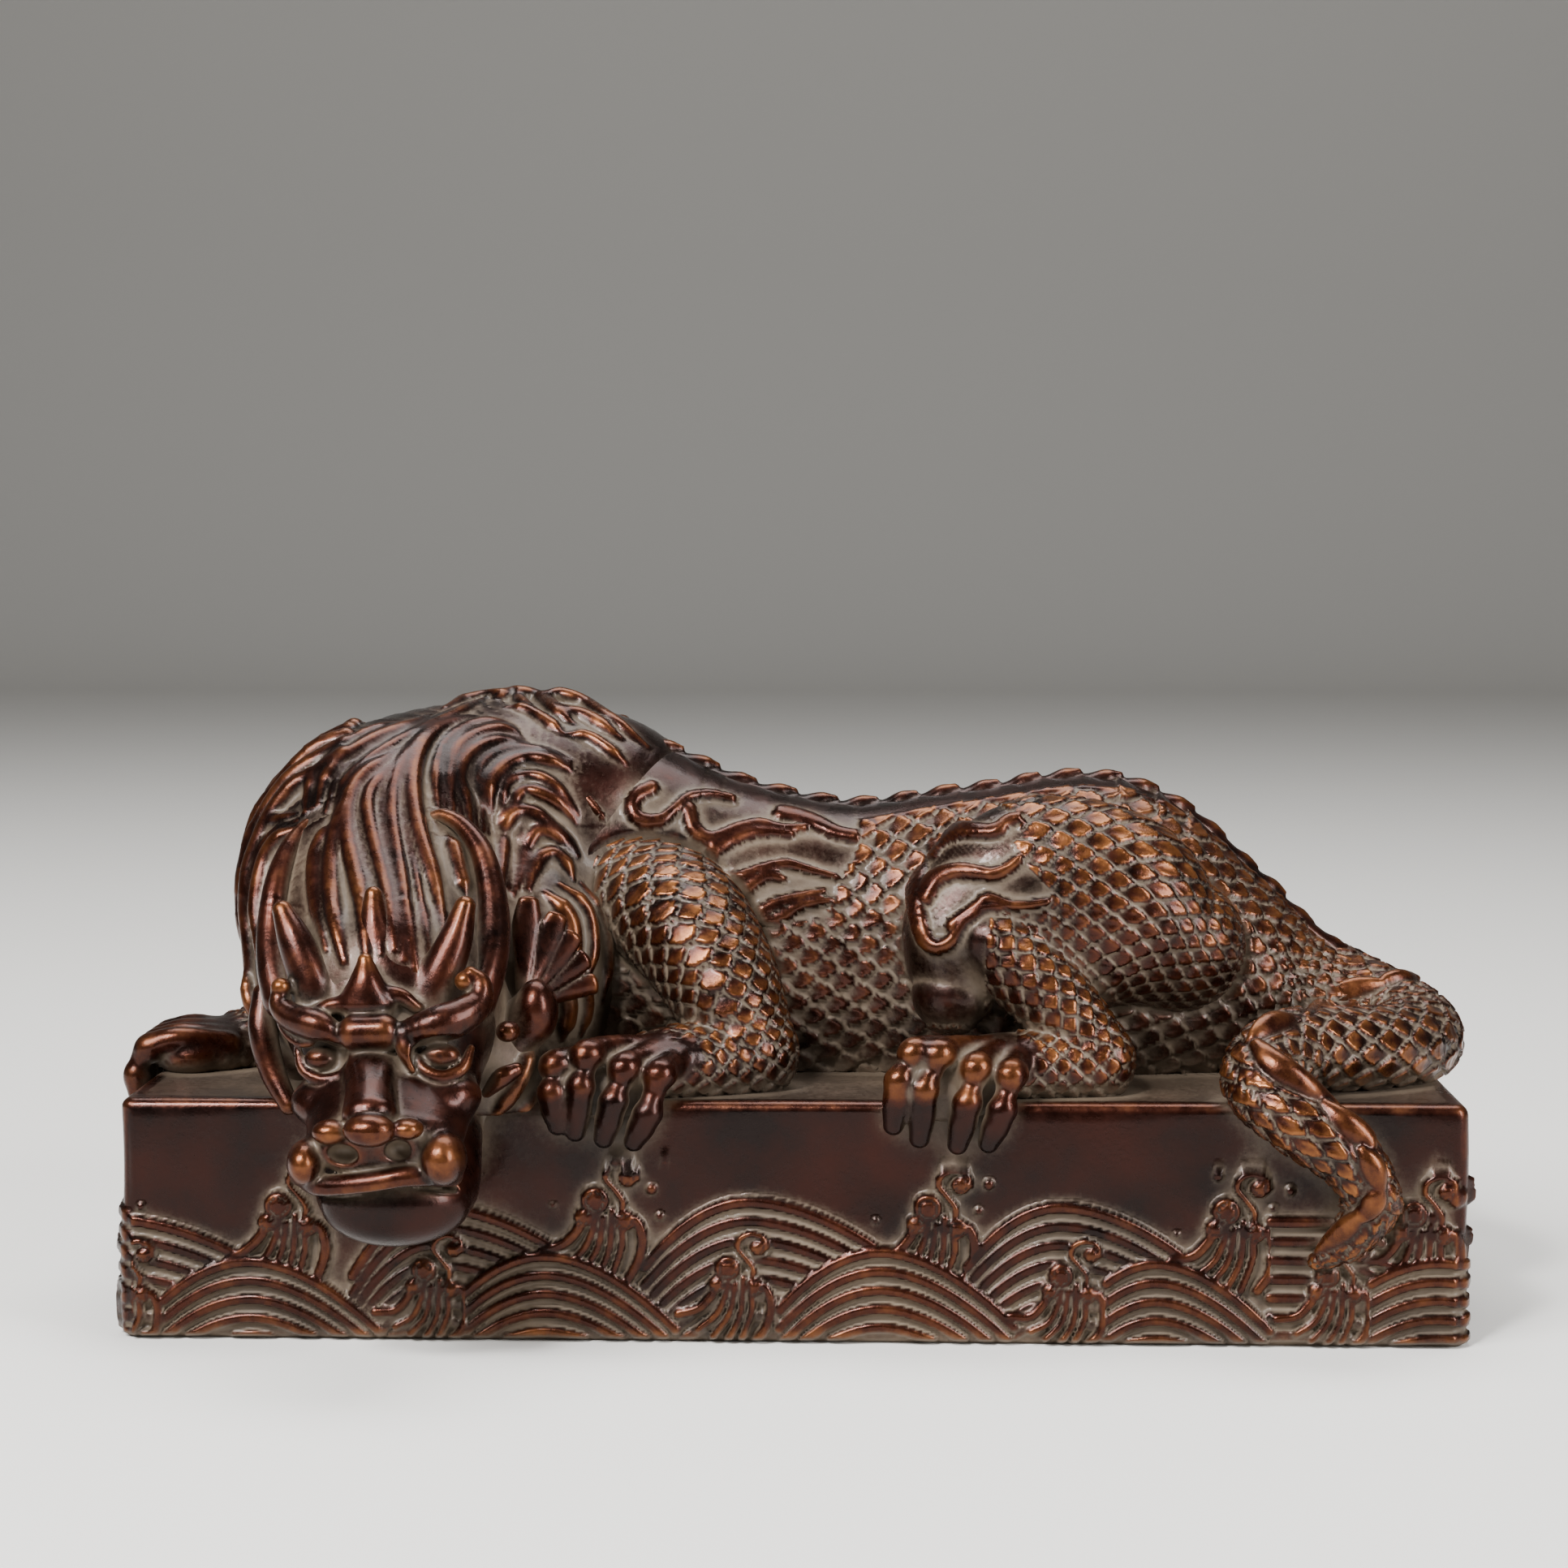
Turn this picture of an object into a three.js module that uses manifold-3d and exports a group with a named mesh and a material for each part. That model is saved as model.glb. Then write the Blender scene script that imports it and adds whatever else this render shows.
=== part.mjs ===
// A small copper casting: a crouching guardian beast, half dragon and half lion, on an oblong plinth.
// The beast and its plinth are one casting. The beast lies along the plinth with its tail at +X, turns its
// head to the front (-Y) and lets it hang over the plinth's edge. Millimetres, +Z up, origin at the centre
// of the plinth's underside.
import * as THREE from "three";
import { mergeVertices } from "three/addons/utils/BufferGeometryUtils.js";
import Module from "manifold-3d";

const wasm = await Module();
wasm.setup();

// Driving sizes
const plinthLength = 166;
const plinthDepth = 62;
const plinthHeight = 30;
const beastHeight = 49;
const wavePeriod = 37.5;
const waveDepth = 1.5;
const waveRoot = 1;
const edgeRounding = 1.2;

// The beast is drawn on a grid laid over the plinth's top: 83 squares from the middle to each end, 31 to the
// front and the back, and 49 up to the top of the mane.
const gridLength = plinthLength / 2 / 83;
const gridDepth = plinthDepth / 2 / 31;
const gridHeight = beastHeight / 49;
const grid = new THREE.Matrix4()
  .makeTranslation(0, 0, plinthHeight)
  .scale(new THREE.Vector3(gridLength, gridDepth, gridHeight));

// A closed surface as a solid that can be joined or cut
function solid(geometry) {
  const bare = geometry.clone();
  bare.deleteAttribute("normal");
  bare.deleteAttribute("uv");
  const merged = mergeVertices(bare, 1e-4);
  return new wasm.Manifold(
    new wasm.Mesh({
      numProp: 3,
      vertProperties: new Float32Array(merged.attributes.position.array),
      triVerts: new Uint32Array(merged.index.array),
    }),
  );
}

// Rings of grid points, each of the same count, closed into one surface by a point at either end
function skin(rings, first, last) {
  const sides = rings[0].length;
  const points = [first, ...rings.flat(), last];
  const faces = [];
  const lastVertex = points.length - 1;
  for (let s = 0; s < sides; s++) {
    const next = (s + 1) % sides;
    faces.push(0, 1 + s, 1 + next);
    const foot = 1 + (rings.length - 1) * sides;
    faces.push(lastVertex, foot + next, foot + s);
    for (let r = 0; r < rings.length - 1; r++) {
      const low = 1 + r * sides;
      const high = low + sides;
      faces.push(low + s, high + s, low + next, low + next, high + s, high + next);
    }
  }
  const geometry = new THREE.BufferGeometry().setFromPoints(points);
  geometry.setIndex(faces);
  return solid(geometry.applyMatrix4(grid));
}

// A limb: an oval tube through stations [x, y, z, half width, half height], with domed ends. The half height
// is measured towards `up`, and the half width across it.
const upright = new THREE.Vector3(0, 0, 1);
const backward = new THREE.Vector3(0, 1, 0);
const endward = new THREE.Vector3(1, 0, 0);
const domeTurn = Math.PI / 4;

function limb(stations, { sides = 8, rings = 6, up = upright } = {}) {
  const points = stations.map(([x, y, z]) => new THREE.Vector3(x, y, z));
  const girths = stations.map(([, , , w, h]) => new THREE.Vector3(w, h ?? w, 0));
  const path = new THREE.CatmullRomCurve3(points, false, "catmullrom", 0.5);
  const sizes = new THREE.CatmullRomCurve3(girths, false, "catmullrom", 0.5);
  const ringAt = (t, shift, share) => {
    const tangent = path.getTangent(t).normalize();
    const across = new THREE.Vector3().crossVectors(tangent, up).normalize();
    const rise = new THREE.Vector3().crossVectors(across, tangent);
    const size = sizes.getPoint(t);
    const centre = path.getPoint(t).addScaledVector(tangent, shift * Math.min(size.x, size.y));
    const ring = [];
    for (let s = 0; s < sides; s++) {
      const angle = (2 * Math.PI * s) / sides;
      ring.push(centre.clone()
        .addScaledVector(across, Math.cos(angle) * size.x * share)
        .addScaledVector(rise, Math.sin(angle) * size.y * share));
    }
    return ring;
  };
  const pole = (t, sign) => {
    const size = sizes.getPoint(t);
    const tangent = path.getTangent(t).normalize();
    return path.getPoint(t).addScaledVector(tangent, sign * Math.min(size.x, size.y));
  };
  const all = [ringAt(0, -Math.sin(domeTurn), Math.cos(domeTurn))];
  for (let r = 0; r <= rings; r++) all.push(ringAt(r / rings, 0, 1));
  all.push(ringAt(1, Math.sin(domeTurn), Math.cos(domeTurn)));
  return skin(all, pole(0, -1), pole(1, 1));
}

// A rounded lump: a sphere stretched to three half sizes
function lump([x, y, z], [rx, ry, rz], detail = 8) {
  const ball = new THREE.SphereGeometry(1, detail, detail - 2);
  ball.rotateX(Math.PI / 2);
  ball.scale(rx, ry, rz);
  ball.translate(x, y, z);
  return solid(ball.applyMatrix4(grid));
}

// A horn or lock that tapers from root to tip, flattened upwards where `flat` is under 1
function spike(points, root, tip, { flat = 1, sides = 4, rings = 3, up = upright } = {}) {
  const last = points.length - 1;
  const stations = points.map((point, i) => {
    const radius = root + ((tip - root) * i) / last;
    return [...point, radius, radius * flat];
  });
  return limb(stations, { sides, rings, up });
}

// A paw: a palm and four toes that run to the plinth's edge and grip its face, with a knob at both joints.
// `place` turns steps along the edge, out past it and up into a grid position.
const toes = 4;
const toePitch = 3.9;
const toeDrop = 0.8;

function paw(place, pitch, up) {
  const pieces = [limb([
    [...place(4.5, -10, 3.4), 4.6, 3.8],
    [...place(1.5, -4.5, 4), 6.2, 3.6],
  ], { rings: 1 })];
  for (let toe = 0; toe < toes; toe++) {
    const along = (toe - (toes - 1) / 2) * pitch;
    const drop = ((toe - (toes - 1) / 2) * toeDrop) / gridHeight;
    pieces.push(limb([
      [...place(along * 0.7 + 1.5, -5, 5 - drop), 1.5],
      [...place(along, 0.6, 4.8 - drop), 2.3],
      [...place(along - 0.6, 2.4, 0.6 - drop), 1.9],
      [...place(along * 0.85 - 1, 1.2, -4.2), 0.7],
    ], { sides: 5, rings: 3, up }));
  }
  return pieces;
}

// Torso: a long barrel that sinks into the plinth's top, high over the shoulders and the rump
const torso = limb([
  [-36, 6, 17, 18, 26.5],
  [-24, 5, 16, 17.5, 24.8],
  [-10, 4, 13.5, 16, 22.6],
  [7, 4, 12, 15, 20.8],
  [24, 4, 14, 16.5, 21.8],
  [40, 5, 14, 18.5, 23.4],
  [54, 6, 10.5, 17, 20],
  [65, 6, 7, 13.5, 14.3],
  [75, 4, 5, 9, 8.5],
], { sides: 12, rings: 11 });

// Tail: round the plinth's right end, back to the front edge, then down over the front face
const tail = limb([
  [73, 5, 6, 9, 7.5],
  [79.5, -1, 5.2, 6.4, 6],
  [79.5, -10, 4.6, 5.6, 5],
  [72.5, -17, 4.8, 5.4, 4.8],
  [62, -23.5, 5.6, 5, 4.8],
  [57, -31, 3.5, 4.8, 4.6],
  [61, -34.5, -0.8, 4.4, 3.9],
  [68, -35, -6, 4.2, 3.6],
  [70.6, -34.5, -11.5, 3.6, 3],
  [68, -33.5, -16, 2.8, 2.4],
  [64.5, -32.6, -18.6, 1.5, 1.2],
], { rings: 15 });

// Neck and the mass of the mane, which turns from the shoulders to the front edge
const neck = limb([
  [-31, 6, 22, 19, 24.5],
  [-43, 4, 26, 19.5, 21],
  [-53, -6, 24.5, 18.5, 19],
  [-51.5, -19, 19, 15.5, 15.5],
  [-50, -29, 14, 13, 12],
], { sides: 12, rings: 7 });
const throat = lump([-39, -30, 3], [8, 7, 9]);
const chest = lump([-34, -9, 13], [11, 14, 17]);

// Near foreleg: upper arm from the shoulder down to the elbow, forearm back along the edge
const foreleg = [
  limb([
    [-19, -6, 22, 8, 9.5],
    [-14, -12, 19.5, 8, 9],
    [-9, -17, 12.5, 7, 8],
    [-6, -20, 5.5, 6, 6],
  ], { rings: 5, up: backward }),
  limb([
    [-7, -20.5, 3.2, 5.6, 5.4],
    [-14, -24, 3.6, 5.2, 4.6],
  ], { rings: 2 }),
];
const forepaw = paw((along, out, z) => [-23.5 + along, -31 - out, z], toePitch / gridLength, backward);

// Hind leg: folded thigh, shank slanting down to the heel, foot along the edge. `side` is -1 for the front
// of the plinth and 1 for the back.
function hindLeg(side) {
  return [
    limb([
      [48, 9 * side, 17, 9, 9],
      [41, 11 * side, 21, 10, 13],
      [30, 12.5 * side, 21.5, 9.5, 14],
      [22, 15 * side, 17, 7.5, 9.5],
      [20, 17.5 * side, 10.5, 5, 4.5],
    ], { rings: 7 }),
    limb([
      [26, 18.5 * side, 17.5, 5, 6.5],
      [32, 20.5 * side, 11.5, 4.6, 5.6],
      [37, 22 * side, 5, 4.4, 4.8],
    ], { rings: 3, up: backward }),
    limb([
      [37, 22.5 * side, 3.4, 4.8, 4.4],
      [30, 24.5 * side, 3.6, 5, 4.2],
    ], { rings: 1 }),
    ...paw((along, out, z) => [19.5 + along, side * (31 + out), z], toePitch / gridLength, backward),
  ];
}

// Far foreleg: it reaches forward to the plinth's left end and grips it
const reachingLeg = [
  limb([
    [-46, 16, 14, 9, 9],
    [-60, 12, 7, 7, 6.5],
    [-71, 3, 3.6, 5, 4.6],
  ], { rings: 5 }),
  ...paw((along, out, z) => [-83 - out, -7.5 - along, z - 0.8], toePitch / gridDepth, endward),
];

// Head: it hangs over the front edge, with a drooping muzzle over a closed jaw. Sizes across it are counted
// from its middle line.
const headMiddle = -48.8;
function face(x, y, z) {
  return [headMiddle / gridLength + x, y, z];
}
const head = [
  lump(face(0, -34, 11.5), [14, 11.5, 13]),
  limb([
    [...face(-0.6, -38, 8), 11, 9],
    [...face(0.4, -45.5, 3), 8.6, 7.5],
    [...face(1.4, -50.5, -2), 9.4, 5],
  ], { rings: 3 }),
  limb([
    [...face(0.6, -36, -5), 9, 7],
    [...face(2, -46, -9.3), 9.2, 5.4],
  ], { rings: 2 }),
  limb([
    [...face(-2, -55, 1.2), 2.2],
    [...face(4.6, -54.5, 1.2), 1.8],
  ], { sides: 6, rings: 1 }),
  limb([
    [...face(-3.4, -47, 10.8), 2],
    [...face(2, -47, 10.8), 2],
  ], { sides: 6, rings: 1 }),
];
for (const side of [-1, 1]) {
  head.push(
    lump(face(1.4 + side * 7.8, -52, -2.8), [2.8, 4, 3.4]),
    lump(face(0.4 + side * 8.2, -43, 2.8), [3.6, 4.6, 3.4]),
    limb([
      [...face(side * 4, -46.5, 9.4), 1.5],
      [...face(side * 8, -46, 12), 1.9],
      [...face(side * 12, -42, 14), 1.6],
      [...face(side * 11.2, -40, 17.2), 1.2],
    ], { sides: 5, rings: 4 }),
    lump(face(side * 16, -29, 11), [3.5, 5, 6], 6),
    spike([
      face(side * 12.6, -33, 15),
      face(side * 13.4, -27, 24),
      face(side * 12, -21.5, 30.5),
      face(side * 7, -16.5, 33.5),
    ], 2.6, 1, { rings: 5, sides: 5, up: backward }),
    spike([
      face(side * 7, -41, 14),
      face(side * 9, -39, 20),
      face(side * 11.4, -36.5, 25.5),
    ], 3.3, 0.8, { rings: 2, sides: 5, up: backward }),
  );
}
head.push(
  spike([face(-1.2, -38, 15), face(-1, -38, 21), face(-1, -35.5, 27)], 3.6, 0.8, { up: backward }),
  spike([face(-1, -44, 13), face(-0.8, -45, 17), face(-0.8, -44.5, 20)], 3, 0.6, { up: backward }),
);

// The fan-shaped ear behind the cheek: flat rays that spread from one root
const earRays = 5;
for (let ray = 0; ray < earRays; ray++) {
  const turn = THREE.MathUtils.degToRad(92 - ray * 19);
  const reach = 12 - 0.8 * ray;
  head.push(spike([
    [-33.5, -27.5, 14],
    [-33.5 + Math.cos(turn) * reach, -23, 14 + Math.sin(turn) * reach],
  ], 1.1, 1.7, { rings: 1 }));
}

// Mane: locks that start at the crown, climb the neck and fall back over the shoulders. Each one follows the
// neck at its own bearing, counted from the near side over the top to the far side.
const mane = [];
const lockCount = 12;
for (let lock = 0; lock < lockCount; lock++) {
  const bearing = THREE.MathUtils.degToRad(-10 + (200 * lock) / (lockCount - 1));
  const out = Math.cos(bearing);
  const rise = Math.sin(bearing);
  const stray = lock % 2 ? 2.5 : 0;
  mane.push(spike([
    [-50 + out * 12, -27, 14 + rise * 11.5],
    [-51.5 + out * 15.5, -18, 19 + rise * 15],
    [-52.5 + out * 18.5 + rise, -6, 24 + rise * 18.6],
    [-44 + out * 15 + rise * 5 - stray, 3 - out * 7, 25 + rise * 21],
    [-30 + out * 4 + rise * 5 + stray, 7 - out * 13, 21.5 + rise * 24],
  ], 2.1, 1, { rings: 4 }));
}

// Side locks that hang behind the ear and curl back over the near shoulder
for (let lock = 0; lock < 3; lock++) {
  const drop = lock * 5;
  mane.push(spike([
    [-35, -21 + lock, 25 - drop],
    [-31.5, -15, 29.5 - drop],
    [-27, -12.5, 28.5 - drop],
    [-22, -12.5, 25.5 - drop],
  ], 1.9, 0.7));
}

// Ridge of the back: overlapping scutes from the shoulders to the root of the tail
const spine = new THREE.CatmullRomCurve3([
  new THREE.Vector3(-29, 2, 40.2),
  new THREE.Vector3(-12, 4, 36.2),
  new THREE.Vector3(7, 4, 32.6),
  new THREE.Vector3(24, 4, 35.6),
  new THREE.Vector3(38, 5, 37.4),
  new THREE.Vector3(54, 6, 30.4),
  new THREE.Vector3(66, 6, 20.6),
  new THREE.Vector3(75, 5, 13.5),
], false, "catmullrom", 0.5);
const scuteCount = 18;
const scuteRise = 1.9;
const scuteHalfWidth = 2;
const scuteRoot = 1;
function scute(index) {
  const halfWidth = scuteHalfWidth / gridDepth;
  const rise = scuteRise / gridHeight;
  const root = scuteRoot / gridHeight;
  const from = spine.getPointAt(index / (scuteCount + 1));
  const to = spine.getPointAt((index + 1.2) / (scuteCount + 1));
  const ring = (point, share) => [
    point.clone().add(new THREE.Vector3(0, -halfWidth * share, -root)),
    point.clone().add(new THREE.Vector3(0, 0, rise * share)),
    point.clone().add(new THREE.Vector3(0, halfWidth * share, -root)),
  ];
  return skin([ring(from, 0.3), ring(to, 1)], from, to);
}
const ridge = [];
for (let index = 0; index < scuteCount; index++) ridge.push(scute(index));

// Flames that lick back over the shoulder and the thigh
const flames = [
  spike([[-26, -11, 28], [-20, -13, 31], [-14, -12, 31.5], [-9, -11, 31]], 1.8, 0.6),
  spike([[-13, -14, 26.5], [-7, -14, 25], [-1, -12.5, 27], [5, -11.5, 28]], 1.6, 0.6),
  spike([[-6, -15, 20.5], [0, -14, 19.5], [5, -13, 22], [9, -12, 22.5]], 1.5, 0.6),
  spike([[15.5, -18, 19], [17, -17.5, 27], [22, -16.5, 32.5], [30, -15, 34]], 1.7, 0.8),
  spike([[16, -19, 18], [19, -20.5, 24], [25, -21, 26.5], [31, -20.5, 29]], 1.7, 0.7),
  spike([[17, -20, 12], [20, -21.5, 17], [26, -22, 21], [32, -21, 20.5]], 2, 0.7),
];

// Plinth: an oblong block with softened upright corners
const plinthOutline = new THREE.Shape();
const halfLength = plinthLength / 2;
const halfDepth = plinthDepth / 2;
plinthOutline.moveTo(-halfLength + edgeRounding, -halfDepth);
plinthOutline.lineTo(halfLength - edgeRounding, -halfDepth);
plinthOutline.lineTo(halfLength, -halfDepth + edgeRounding);
plinthOutline.lineTo(halfLength, halfDepth - edgeRounding);
plinthOutline.lineTo(halfLength - edgeRounding, halfDepth);
plinthOutline.lineTo(-halfLength + edgeRounding, halfDepth);
plinthOutline.lineTo(-halfLength, halfDepth - edgeRounding);
plinthOutline.lineTo(-halfLength, -halfDepth + edgeRounding);
const plinth = solid(new THREE.ExtrudeGeometry(plinthOutline, { depth: plinthHeight, bevelEnabled: false }));

// Waves: two rows of swells on each face. A swell rises to a crest, falls to a trough and ends in a splash
// of curls. Under its outline run more lines, one pitch apart. A row is given by its crest and trough.
const lowerRow = { crest: 0.33 * plinthHeight, trough: 0.05 * plinthHeight, proud: 1 };
const upperRow = { crest: 0.54 * plinthHeight, trough: 0.34 * plinthHeight, proud: 0.6 };
const bandPitch = 0.085 * plinthHeight;
const bandWidth = 0.045 * plinthHeight;
const bandFloor = 0.008 * plinthHeight;
const crestAt = 0.36;
const swellSteps = 5;

function swellHeight(row, t) {
  const turn = (2 * Math.PI * (t - crestAt)) / 0.9;
  return row.trough + (row.crest - row.trough) * 0.5 * (1 + Math.cos(turn));
}

// Flat wave shapes stand on a face, and `place` turns them to that face
function raised(points, proud, place) {
  const geometry = new THREE.ExtrudeGeometry(new THREE.Shape(points), {
    depth: proud + waveRoot,
    bevelEnabled: false,
  });
  geometry.translate(0, 0, -waveRoot);
  geometry.rotateX(Math.PI / 2);
  return solid(geometry.applyMatrix4(place));
}

function swellBand(row, start, line, place) {
  const top = [];
  const bottom = [];
  for (let step = 0; step <= swellSteps; step++) {
    const t = step / swellSteps;
    const height = swellHeight(row, t * 0.86) - line * bandPitch;
    const x = start + t * 0.86 * wavePeriod;
    top.push(new THREE.Vector2(x, Math.max(height, bandFloor)));
    bottom.unshift(new THREE.Vector2(x, Math.max(height - bandWidth, 0)));
  }
  return raised([...top, ...bottom], waveDepth * row.proud * (1 - 0.1 * line), place);
}

// A splash: four fingers of water that fan up out of the trough, with three round curls on their ends
function splash(row, start, place) {
  const x = start + 0.86 * wavePeriod;
  const foot = row.trough;
  const tall = 0.3 * plinthHeight;
  const wide = 0.16 * wavePeriod;
  const outline = [
    [-0.35, 0], [0.4, 0], [0.85, 0.2], [0.8, 0.75], [0.35, 0.55], [0.35, 1.05], [0, 1.3], [-0.1, 0.75],
    [-0.4, 0.6],
  ].map(([a, b]) => new THREE.Vector2(x + a * wide, Math.max(foot + b * tall, 0)));
  return raised(outline, waveDepth * (row.proud + 0.15), place);
}

function waveRow(row, length, shift, lines, place) {
  const pieces = [];
  const count = Math.floor((length - Math.abs(shift)) / wavePeriod);
  const left = (-wavePeriod * count) / 2;
  for (let n = 0; n < count; n++) {
    const start = left + n * wavePeriod;
    for (let line = 0; line < lines; line++) pieces.push(swellBand(row, start, line, place));
    pieces.push(splash(row, start, place));
  }
  return pieces;
}

function facing(quarterTurns, distance) {
  const turn = new THREE.Matrix4().makeRotationZ((quarterTurns * Math.PI) / 2);
  return turn.multiply(new THREE.Matrix4().makeTranslation(0, -distance, 0));
}

const relief = [
  ...waveRow(lowerRow, plinthLength, 0, 3, facing(0, halfDepth)),
  ...waveRow(upperRow, plinthLength, wavePeriod, 2, facing(0, halfDepth)),
  ...waveRow(lowerRow, plinthLength, 0, 1, facing(2, halfDepth)),
  ...waveRow(lowerRow, plinthDepth, 0, 1, facing(1, halfLength)),
  ...waveRow(lowerRow, plinthDepth, 0, 1, facing(3, halfLength)),
];

const casting = [
  ...relief,
  torso,
  tail,
  neck,
  throat,
  chest,
  ...foreleg,
  ...forepaw,
  ...hindLeg(-1),
  ...hindLeg(1),
  ...reachingLeg,
  ...head,
  ...mane,
  ...ridge,
  ...flames,
].reduce((whole, piece) => whole.add(piece), plinth);

// Back to a three.js mesh
function meshOf(name, made, material) {
  const data = made.getMesh();
  const geometry = new THREE.BufferGeometry();
  const vertices = new Float32Array(data.numVert * 3);
  for (let v = 0; v < data.numVert; v++) {
    for (let k = 0; k < 3; k++) vertices[v * 3 + k] = data.vertProperties[v * data.numProp + k];
  }
  geometry.setAttribute("position", new THREE.BufferAttribute(vertices, 3));
  geometry.setIndex(new THREE.BufferAttribute(new Uint32Array(data.triVerts), 1));
  geometry.computeVertexNormals();
  const mesh = new THREE.Mesh(geometry, material);
  mesh.name = name;
  return mesh;
}

const patinatedCopper = new THREE.MeshStandardMaterial({ color: 0x4a2519, roughness: 0.38, metalness: 0.9 });

const beast = new THREE.Group();
beast.add(meshOf("guardian_beast_on_plinth", casting, patinatedCopper));

export default beast;
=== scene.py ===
import bpy
import numpy as np
from math import cos, pi, radians, sin
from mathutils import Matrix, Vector


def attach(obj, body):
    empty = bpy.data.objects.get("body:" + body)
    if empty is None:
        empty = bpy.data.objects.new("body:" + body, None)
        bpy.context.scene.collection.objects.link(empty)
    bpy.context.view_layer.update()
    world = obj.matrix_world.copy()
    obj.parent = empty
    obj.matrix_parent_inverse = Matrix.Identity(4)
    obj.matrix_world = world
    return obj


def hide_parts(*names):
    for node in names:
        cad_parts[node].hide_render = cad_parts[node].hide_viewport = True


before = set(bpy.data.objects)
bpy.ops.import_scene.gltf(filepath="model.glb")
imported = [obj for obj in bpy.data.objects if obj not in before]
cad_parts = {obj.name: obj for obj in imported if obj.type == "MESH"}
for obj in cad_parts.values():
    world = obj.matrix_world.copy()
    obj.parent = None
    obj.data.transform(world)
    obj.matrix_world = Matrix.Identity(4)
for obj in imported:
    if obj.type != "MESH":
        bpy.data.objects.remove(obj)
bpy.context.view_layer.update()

# Plinth
# An oblong block of copper alloy, cast in one with the beast. Its lower faces carry two staggered rows of
# carved waves with curling crests; its edges are softened by wear. All sizes here are in millimetres.

LENGTH, DEPTH, TALL = 166.0, 62.0, 30.0
EDGE = 1.3


def linear(code):
    """A colour's sRGB hex code as the linear values that a shader takes."""
    parts = [int(code[i:i + 2], 16) / 255 for i in (1, 3, 5)]
    return tuple(c / 12.92 if c <= 0.04045 else ((c + 0.055) / 1.055) ** 2.4 for c in parts) + (1,)


def node(tree, kind, links=None, **settings):
    """Adds one shader node; `links` names its inputs and what feeds or sets them."""
    made = tree.nodes.new("ShaderNode" + kind)
    for key, value in settings.items():
        setattr(made, key, value)
    for key, value in (links or {}).items():
        if isinstance(value, bpy.types.NodeSocket):
            tree.links.new(value, made.inputs[key])
        else:
            made.inputs[key].default_value = value
    return made


def patinated_copper():
    """Copper alloy with a brown-red chemical patina under wax: glossy and orange where hands have worn it,
    near black on plain faces, and grey with settled dust in the recesses."""
    material = bpy.data.materials.new("patinated_copper")
    material.use_nodes = True
    tree = material.node_tree
    tree.nodes.clear()
    place = node(tree, "TexCoord").outputs["Object"]
    wear_and_painted_light = node(tree, "Attribute", attribute_name="wear_and_painted_light").outputs["Fac"]
    dust_and_painted_shade = node(tree, "Attribute", attribute_name="dust_and_painted_shade").outputs["Fac"]
    # clouds of darker and redder patina about 12 mm across, blotches of wax and rubbing about 3 mm across,
    # and casting grain about 0.6 mm across
    cloud, blotch, grain = [
        node(tree, "TexNoise", {"Vector": place, "Scale": scale, "Detail": detail,
                                "Roughness": rough}).outputs["Fac"]
        for scale, detail, rough in ((80.0, 5.0, 0.6), (320.0, 4.0, 0.65), (1500.0, 3.0, 0.7))]

    def ramp(value, start, first, end, last):
        made = node(tree, "ValToRGB", {"Fac": value})
        for element, position, colour in zip(made.color_ramp.elements, (start, end), (first, last)):
            element.position = position
            element.color = linear(colour)
        return made.outputs["Color"]

    def add(a, b, factor):
        return node(tree, "Math", {0: b, 1: factor, 2: a}, operation="MULTIPLY_ADD").outputs[0]

    def mix(kind, factor, a, b):
        made = node(tree, "Mix", data_type=kind)
        sockets = [socket for socket in made.inputs if socket.enabled]
        for socket, value in zip(sockets, (factor, a, b)):
            if isinstance(value, bpy.types.NodeSocket):
                tree.links.new(value, socket)
            else:
                socket.default_value = value
        return next(socket for socket in made.outputs if socket.enabled)

    # wear shows where relief stands high, broken up by the blotches; the same attribute carries painted top
    # light on scales that face up and painted shade under the jaw and claws
    worn_and_painted_light = add(add(wear_and_painted_light, blotch, 0.5), 1.0, -0.25)
    metal = mix("RGBA", ramp(worn_and_painted_light, 0.2, "#000000", 0.8, "#ffffff"),
                ramp(cloud, 0.36, "#110503", 0.68, "#2a0d05"),
                ramp(worn_and_painted_light, 0.35, "#52220f", 1.0, "#a66c38"))
    # dust lies in carved grooves by the attribute, and in corners and between limbs by occlusion; where the
    # attribute is lowered under the jaw and claws, the bare dark patina there is painted shade
    held = add(dust_and_painted_shade, wear_and_painted_light, -0.35)
    for distance, share in ((0.003, 0.8), (0.02, 0.6)):
        corner = node(tree, "AmbientOcclusion", {"Distance": distance}, samples=6)
        held = add(add(held, corner.outputs["AO"], -share), 1.0, share)
    held = add(add(held, grain, 0.5), 1.0, -0.25)
    settled = ramp(held, 0.3, "#000000", 1.0, "#ececec")
    skin = mix("RGBA", settled, metal, ramp(cloud, 0.3, "#463a2e", 0.7, "#6c5e4d"))
    gloss = node(tree, "MapRange", {"Value": blotch, "From Min": 0.3, "From Max": 0.7, "To Min": 0.2,
                                    "To Max": 0.38})
    bump = node(tree, "Bump", {"Height": grain, "Strength": 0.2, "Distance": 0.0002})
    shader = node(tree, "BsdfPrincipled", {
        "Base Color": skin, "Roughness": mix("FLOAT", settled, gloss.outputs["Result"], 0.72),
        "Metallic": mix("FLOAT", settled, 0.8, 0.1), "Normal": bump.outputs["Normal"],
        "Coat Weight": 0.08, "Coat Roughness": 0.12})
    output = node(tree, "OutputMaterial")
    tree.links.new(shader.outputs["BSDF"], output.inputs["Surface"])
    return material


COPPER = patinated_copper()


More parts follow.
